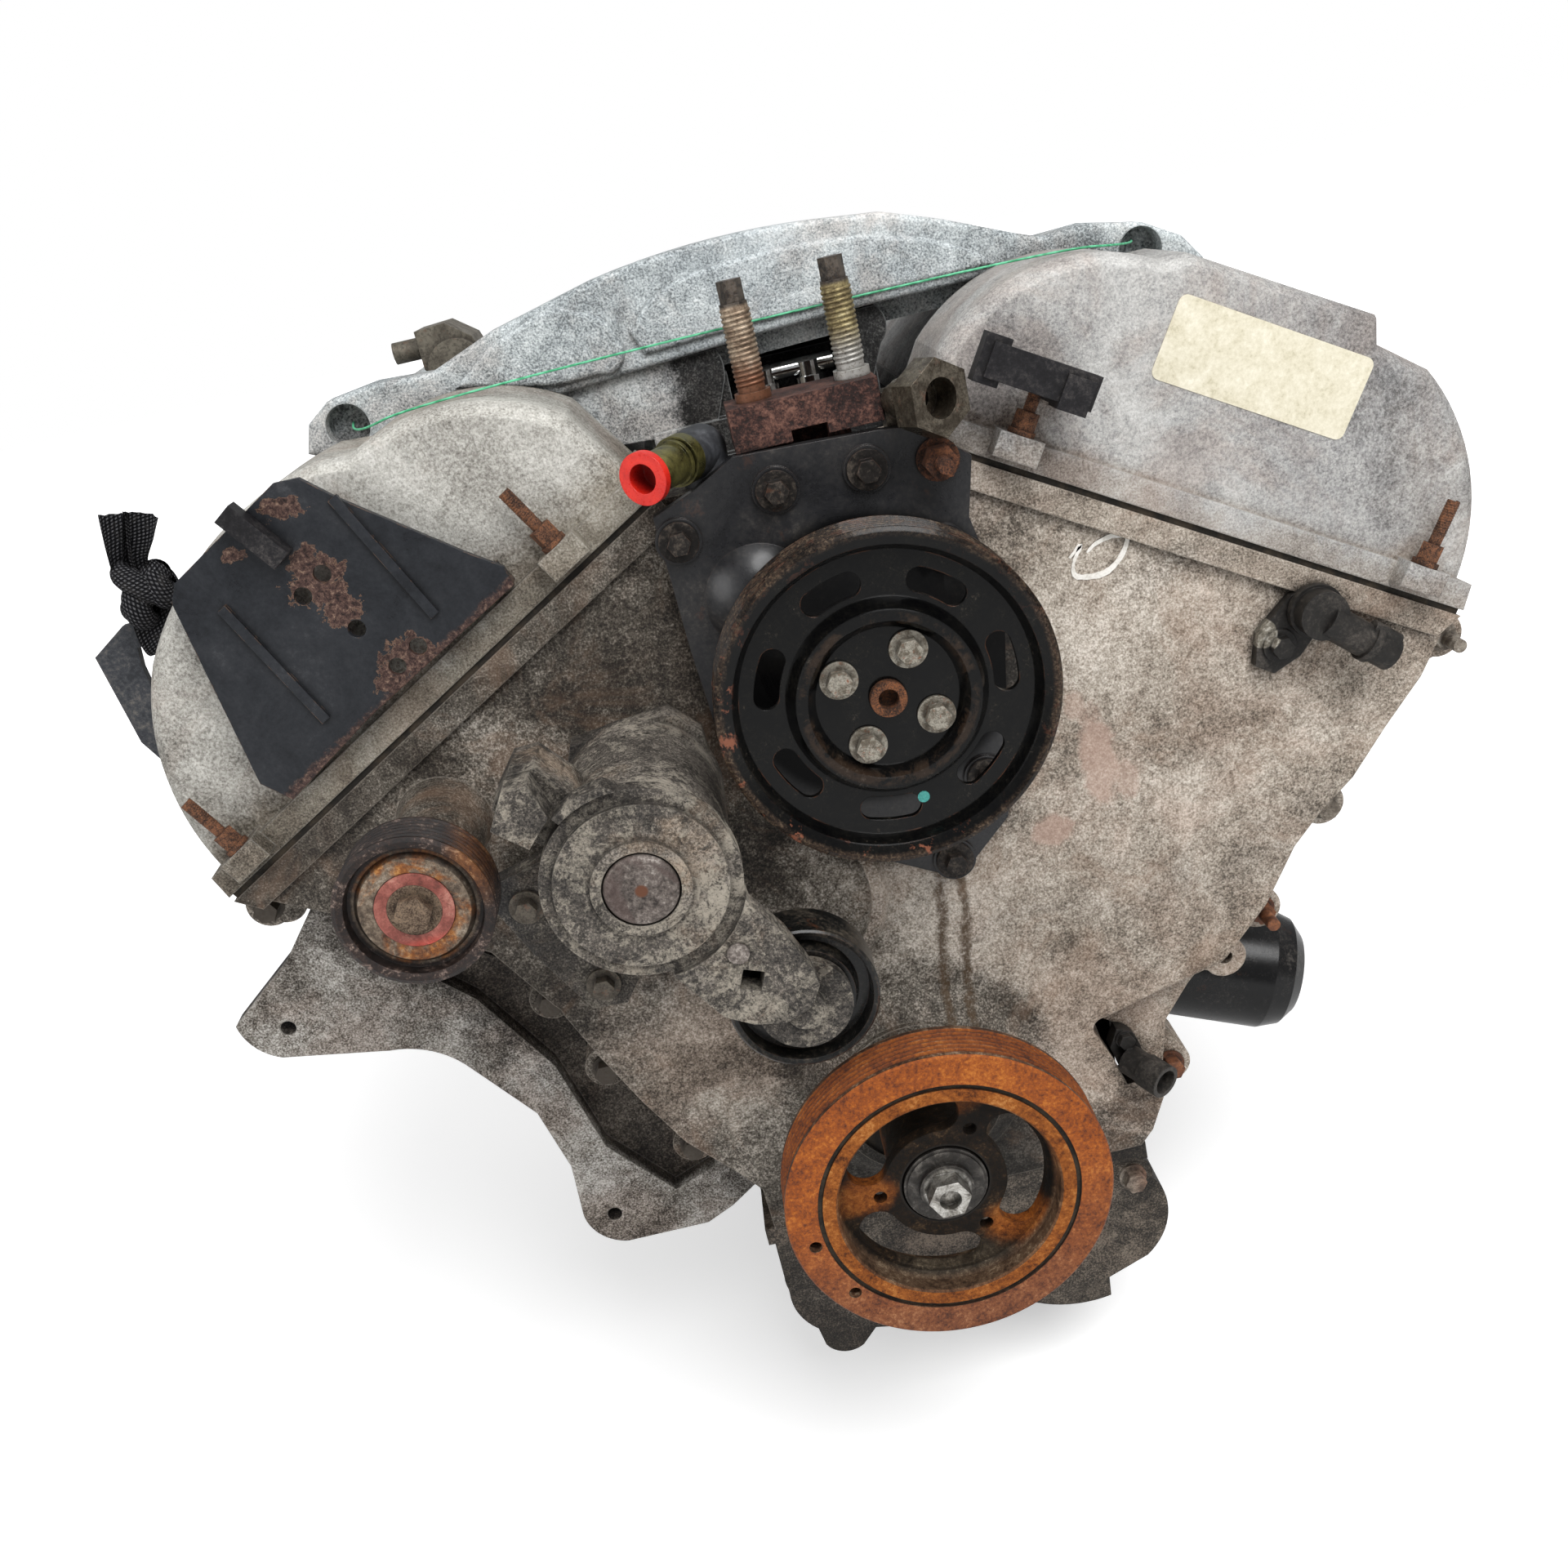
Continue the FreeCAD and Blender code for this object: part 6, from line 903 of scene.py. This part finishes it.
def chain_finish():
    """Links: dark gaps across the chain at each pitch."""
    f = Finish("chain_steel", 0.35, 0.85, bevel=0.0004)
    cells = f.node("ShaderNodeTexVoronoi", feature="DISTANCE_TO_EDGE")
    cells.inputs["Scale"].default_value = 130
    f.put(cells.inputs["Vector"], f.place)
    gap = f.fall(cells.outputs["Distance"], 0.02, 0.12)
    colour = f.mix(gap, rgb(150, 140, 126), rgb(58, 48, 38))
    colour = f.mix(f.step(f.noise(90, 6, 0.7, 0.2, 131), 0.45, 0.7, 0, 0.6), colour, rgb(96, 82, 64))
    f.bump(f.sub(1, gap), 0.0006, 0.7)
    return f.done(colour, 0.38)


def webbing_finish():
    """Charcoal webbing: ribs along it and picks across, greyed by dust, frayed at the ends."""
    f = Finish("webbing_charcoal", 0.9, specular=0.2)
    laid = f.node("ShaderNodeUVMap").outputs[0]
    along = f.axis(0, laid)
    across = f.axis(1, laid)
    rib = f.math("ABSOLUTE", f.math("SINE", f.mul(across, 1500)))
    pick = f.math("ABSOLUTE", f.math("SINE", f.add(f.mul(along, 1700), f.mul(across, 800))))
    weave = f.mul(rib, pick)
    dust = f.noise(120, 8, 0.78, 0.3, 151)
    grit = f.noise(900, 4, 0.8, 0, 153)
    colour = f.tones(f.add(f.mul(weave, 0.6), f.mul(grit, 0.4)), (0.2, 0.4, 0.6, 0.8), (14, 14, 16), (46, 46, 50),
            (84, 84, 88), (140, 140, 142))
    colour = f.mix(f.step(dust, 0.5, 0.64, 0, 0.4), colour, rgb(96, 93, 90))
    colour = f.crevices(colour, 0.005, 0.7, (12, 12, 12))
    f.bump(weave, 0.0008, 1)
    f.bump(grit, 0.0003, 0.7)
    return f.done(colour, 0.92)


def plain_finish(name, tones, roughness=0.5, scale=300, specular=0.4, offset=0):
    """Paper, ink or paint in a few near tones, lightly worn."""
    f = Finish(name, roughness, specular=specular)
    cloud = f.noise(scale * 0.2, 7, 0.74, 0.3, offset)
    grit = f.noise(scale, 5, 0.8, 0, offset + 2)
    tone = f.add(f.mul(cloud, 0.5), f.mul(grit, 0.5))
    colour = f.ramp(tone, [(stop, rgb(*shown)) for stop, shown in zip((0.36, 0.46, 0.56, 0.66), tones)])
    f.bump(grit, 0.00005, 0.4)
    return f.done(colour, f.step(cloud, 0.3, 0.7, roughness - 0.1, roughness + 0.1))


# Added pieces.

def new_object(name, mesh, material, body="engine"):
    piece = bpy.data.objects.new(name, mesh)
    bpy.context.scene.collection.objects.link(piece)
    mesh.materials.append(material)
    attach(piece, body)
    return piece


def smooth(mesh):
    mesh.polygons.foreach_set("use_smooth", [True] * len(mesh.polygons))
    mesh.update()


def sweep_rings(rings):
    """Mesh through equal rings of points, with a fan at each end."""
    bm = bmesh.new()
    rows = [[bm.verts.new(p) for p in ring] for ring in rings]
    count = len(rings[0])
    for a, b in zip(rows, rows[1:]):
        for i in range(count):
            j = (i + 1) % count
            bm.faces.new((a[i], a[j], b[j], b[i]))
    bm.faces.new(list(reversed(rows[0])))
    bm.faces.new(rows[-1])
    bmesh.ops.recalc_face_normals(bm, faces=bm.faces)
    mesh = bpy.data.meshes.new("swept")
    bm.to_mesh(mesh)
    bm.free()
    return mesh


def spline(points, steps):
    """Catmull-Rom points through the given ones, all of the same size."""
    ends = [2 * points[0] - points[1], *points, 2 * points[-1] - points[-2]]
    line = []
    for a, b, c, d in zip(ends, ends[1:], ends[2:], ends[3:]):
        for k in range(steps):
            t = k / steps
            line.append(0.5 * (2 * b + (c - a) * t + (2 * a - 5 * b + 4 * c - d) * t ** 2
                               + (3 * b - a - 3 * c + d) * t ** 3))
    line.append(points[-1])
    return line


def thread(name, foot, axis, length, core, crest, pitch, material):
    """Rounded helical thread ridge round a rod: a small bead wound about the axis."""
    axis = Vector(axis).normalized()
    side = axis.orthogonal().normalized()
    other = axis.cross(side)
    steps = 20
    turns = length / pitch
    rings = []
    for k in range(int(turns * steps) + 1):
        angle = 2 * math.pi * k / steps
        out = side * math.cos(angle) + other * math.sin(angle)
        taper = min(1.0, k / 10.0, (turns * steps - k) / 10.0)
        centre = Vector(foot) + axis * (pitch * k / steps) + out * (core - 0.0002)
        rings.append([centre + axis * (pitch * 0.42 * math.cos(a)) + out * ((crest - core) * max(taper,
                0.05) * math.sin(a)) for a in (0, math.pi / 4, math.pi / 2, 3 * math.pi / 4, math.pi, 1.5 * math.pi)])
    mesh = sweep_rings(rings)
    smooth(mesh)
    new_object(name, mesh, material)


JOINT_V = 0.3465
COVER_FRONT_Y = -0.440
COVER_STUDS = {-1: (-0.072, 0.147), 1: (-0.073, 0.141)}


def make_threads():
    plating = bpy.data.materials["stud_plating"]
    for name, x in (("left", -0.006), ("right", 0.041)):
        thread("mount_thread_" + name, (x, -0.425, 0.3835), (0, 0, 1), 0.0355, 0.0065, 0.0074, 0.00225, plating)
    thread("ground_thread", (0.070, COVER_FRONT_Y - 0.0205, 0.335), (0, -1, 0), 0.0100, 0.0035, 0.0040, 0.00125,
            bpy.data.materials["ground_stud_rust"])
    for side, places in COVER_STUDS.items():
        for number, w in enumerate(places):
            x, z = bank(side, w, JOINT_V + 0.0155)
            thread(f"cover_thread_{'left' if side < 0 else 'right'}_{number}", (x, COVER_FRONT_Y - 0.005, z),
                    (SIN_BANK * side, 0, COS_BANK), 0.0175, 0.0030, 0.0034, 0.00125,
                    bpy.data.materials["cover_stud_rust"])


STRING_RADIUS = 0.00055
STRING_POINTS = [(-0.205, -0.345, 0.401), (-0.196, -0.405, 0.3996), (-0.160, -0.412, 0.409), (0.145, -0.412, 0.411),
        (0.186, -0.406, 0.404), (0.201, -0.345, 0.401)]


def make_string():
    """Thin green string, drawn tight from one corner recess of the intake to the other."""
    curve = bpy.data.curves.new("green_string_line", "CURVE")
    curve.dimensions = "3D"
    curve.bevel_depth = STRING_RADIUS
    curve.bevel_resolution = 3
    curve.resolution_u = 24
    line = curve.splines.new("NURBS")
    line.points.add(len(STRING_POINTS) - 1)
    for control, place in zip(line.points, STRING_POINTS):
        control.co = (*place, 1.0)
    line.order_u = 3
    line.use_endpoint_u = True
    string = bpy.data.objects.new("green_string_cord", curve)
    bpy.context.scene.collection.objects.link(string)
    f = Finish("string_green", 0.5)
    twist = f.noise(900.0, 3.0, 0.6, 0.0, 141.0, (0.25, 1.0, 1.0))
    colour = f.mix(f.step(twist, 0.35, 0.65), rgb(40, 142, 94), rgb(108, 204, 158))
    f.bump(twist, 0.0001, 0.6)
    curve.materials.append(f.done(colour, f.step(twist, 0.3, 0.7, 0.4, 0.6)))
    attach(string, "engine")
    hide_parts("green_string")


WEB_WIDTH = 0.025
WEB_THICKNESS = 0.0015


def fold_ribbon(bm, uv, path, sides, curls, start, frayed=0.0):
    """Webbing along a path in millimetres. Sides give its width direction, curls the half angle that it is rolled
    up to; start is the length of webbing before it."""
    steps = 10
    line = spline([Vector(p) / 1000.0 for p in path], steps)
    width_way = spline([Vector(s).normalized() for s in sides], steps)
    roll = [v.x for v in spline([Vector((c, 0, 0)) for c in curls], steps)]
    columns = 12
    rows = []
    done = start
    for k, place in enumerate(line):
        before, after = line[max(k - 1, 0)], line[min(k + 1, len(line) - 1)]
        along = (after - before).normalized()
        wide = width_way[k]
        wide = (wide - along * wide.dot(along)).normalized()
        out = wide.cross(along)
        if k:
            done += (place - line[k - 1]).length
        angle = max(math.radians(roll[k]), 0.02)
        radius = WEB_WIDTH / 2 / angle
        row = []
        for c in range(columns + 1):
            t = 2 * c / columns - 1
            rip = rng.uniform(-frayed, frayed) if k in (0, len(line) - 1) else 0.0
            across = radius * math.sin(t * angle)
            deep = radius * (math.cos(t * angle) - math.cos(angle) * 0.5 - 0.5)
            row.append((bm.verts.new(place + wide * across + out * deep + along * rip), (done, t * WEB_WIDTH / 2)))
        rows.append(row)
    for a, b in zip(rows, rows[1:]):
        for c in range(columns):
            corners = (a[c], a[c + 1], b[c + 1], b[c])
            face = bm.faces.new([vertex for vertex, laid in corners])
            for loop, (vertex, laid) in zip(face.loops, corners):
                loop[uv].uv = laid
    return done


def knot_wrap(centre, way, half_length, half_depth, turn, begin=0.0):
    """Path and sides of one band of webbing round the knot; way is its direction in degrees, as seen from ahead."""
    across = Vector((math.cos(math.radians(way)), 0, math.sin(math.radians(way))))
    side = Vector((-across.z, 0, across.x))
    path, sides = [], []
    count = 8
    for k in range(count + 1):
        a = math.radians(begin + turn * k / count)
        path.append(Vector(centre) + across * (half_length * math.cos(a)) + Vector((0, -half_depth * math.sin(a), 0)))
        sides.append(side)
    return path, sides


def make_strap():
    """Webbing through the lifting eye: a leg round its rim, a knot of three bands and two cut tails."""
    bm = bmesh.new()
    uv = bm.loops.layers.uv.new("laid")
    done = fold_ribbon(bm, uv, [(-334.0, -351, 384.0), (-336.5, -352, 373), (-339.0, -353, 362), (-340, -353, 351)],
            [(1, -0.3, 0.1), (1, -0.2, 0), (1, 0, 0), (1, 0, 0)], [92, 108, 122, 124], 0.0, 0.0008)
    done = fold_ribbon(bm, uv, [(-322.0, -351, 381.8), (-326.5, -352, 371), (-331.5, -353, 361), (-333, -353, 350)],
            [(1, 0.3, 0.2), (1, 0.1, 0.3), (1, 0, 0.2), (1, 0, 0)], [84, 96, 118, 124], done, 0.0008)
    for centre, way, half_length, half_depth, turn, begin, curl in (((-334, -350.5, 343), 42, 15.0, 7.6, 360, 0, 96),
            ((-333.5, -350.5, 347.5), -42, 13.0, 9.8, 330, -60, 104),
            ((-339, -350.5, 337), 84, 9.5, 9.4, 330, 10, 100), ((-325.5, -350.5, 344), 100, 8.5, 8.4, 330, 0, 104)):
        path, sides = knot_wrap(centre, way, half_length, half_depth, turn, begin)
        done = fold_ribbon(bm, uv, path, sides, [curl] * len(path), done)
    path = [(-334, -348, 339), (-335, -349, 328), (-336, -347.5, 318), (-336.5, -343.5, 309.5), (-336.5, -337, 306),
            (-336.5, -330.6, 311), (-336, -329.2, 319), (-335.5, -331.5, 328), (-335, -338, 331), (-334, -345, 336)]
    fold_ribbon(bm, uv, path, [(1, 0, -0.1)] * len(path), [40, 30, 22, 16, 12, 14, 16, 18, 30, 50], done)
    bmesh.ops.solidify(bm, geom=bm.faces[:], thickness=WEB_THICKNESS)
    bmesh.ops.recalc_face_normals(bm, faces=bm.faces)
    mesh = bpy.data.meshes.new("strap")
    bm.to_mesh(mesh)
    bm.free()
    smooth(mesh)
    strap = new_object("webbing_strap", mesh, webbing_finish())
    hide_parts("lifting_strap")


def flat_patch(name, outline, y, thickness, material, body="engine"):
    """Thin raised patch facing forward; the outline runs in x and z."""
    count = len(outline)
    bm = bmesh.new()
    front = [bm.verts.new((x, y - thickness, z)) for x, z in outline]
    rear = [bm.verts.new((x, y, z)) for x, z in outline]
    bm.faces.new(front)
    bm.faces.new(list(reversed(rear)))
    for i in range(count):
        j = (i + 1) % count
        bm.faces.new((front[j], front[i], rear[i], rear[j]))
    bmesh.ops.recalc_face_normals(bm, faces=bm.faces)
    mesh = bpy.data.meshes.new(name)
    bm.to_mesh(mesh)
    bm.free()
    return new_object(name, mesh, material, body)


LABEL_Y = -0.4351
LABEL_W = (-0.0215, 0.0795)
LABEL_V = (0.3885, 0.4280)


def make_label():
    """Bare cream label with rounded corners on the front of the right valve cover."""
    corner = 0.004
    outline = []
    for w, v, first in ((LABEL_W[1] - corner, LABEL_V[1] - corner, 0), (LABEL_W[0] + corner, LABEL_V[1] - corner, 90),
            (LABEL_W[0] + corner, LABEL_V[0] + corner, 180), (LABEL_W[1] - corner, LABEL_V[0] + corner, 270)):
        for k in range(6):
            a = math.radians(first + 18 * k)
            outline.append(bank(1, w + corner * math.cos(a), v + corner * math.sin(a)))
    paper = plain_finish("label_cream", ((184, 176, 148), (210, 203, 180), (222, 216, 196), (236, 231, 215)), 0.45,
            400.0, 0.4, 161.0)
    flat_patch("bare_label", outline, LABEL_Y + 0.0003, 0.0005, paper)


DOT_Y = -0.5312
DOT_RADIUS = 0.0027
LOOP_Y = -0.43600
LOOP_POINTS = ((126.2, 271.4, 0.9), (132.3, 276.3, 1.6), (127.9, 268.7, 1.1), (127.5, 262.8, 1.8),
        (132.1, 260.4, 2.1), (142.3, 260.2, 2.2), (150.5, 265.7, 1.8), (155.3, 274.8, 1.6), (149.1, 277.4, 1.9),
        (139.9, 275.5, 1.4), (134.9, 272.1, 0.7))


def make_marks():
    """Open loop of white paint on the timing cover and a teal dot on the pump pulley."""
    line = spline([Vector(p) / 1000.0 for p in LOOP_POINTS], 6)
    left, right = [], []
    for k, (x, z, wide) in enumerate(line):
        along = (line[min(k + 1, len(line) - 1)] - line[max(k - 1, 0)]).to_2d().normalized()
        half = wide * 0.68 * rng.uniform(0.8, 1.15)
        left.append((x - along.y * half, z + along.x * half))
        right.append((x + along.y * half, z - along.x * half))
    mesh = sweep_rings([[(a[0], LOOP_Y, a[1]), (a[0], LOOP_Y - 0.0004, a[1]), (b[0], LOOP_Y - 0.0004, b[1]),
            (b[0], LOOP_Y, b[1])] for a, b in zip(left, right)])
    white = plain_finish("paint_white", ((186, 180, 170), (222, 218, 210), (238, 235, 229), (246, 244, 240)), 0.5,
            900.0, 0.4, 163.0)
    new_object("paint_loop", mesh, white)
    teal = plain_finish("ink_teal", ((30, 92, 88), (48, 128, 122), (72, 156, 148), (104, 182, 172)), 0.4, 900.0, 0.4,
            165.0)
    angle = math.radians(-82)
    centre = (PUMP_AXIS[0] + 0.050 * math.cos(angle), PUMP_AXIS[1] + 0.050 * math.sin(angle))
    outline = [(centre[0] + DOT_RADIUS * math.cos(0.5236 * k),
            centre[1] + DOT_RADIUS * math.sin(0.5236 * k)) for k in range(12)]
    flat_patch("teal_dot", outline, DOT_Y + 0.0002, 0.0004, teal, "pump_rotor")


make_camera()
make_world()
make_floor()
make_lamp("key", (0.75, -1.9, 2.1), (0.0, -0.35, 0.15), 1.6, 62.0)
make_lamp("fill", (-1.8, -1.4, 0.9), (0.0, -0.35, 0.15), 1.4, 14.0)
make_materials()
make_string()
make_strap()
make_threads()
make_label()
make_marks()

view = bpy.context.scene.view_settings
view.view_transform = "Standard"
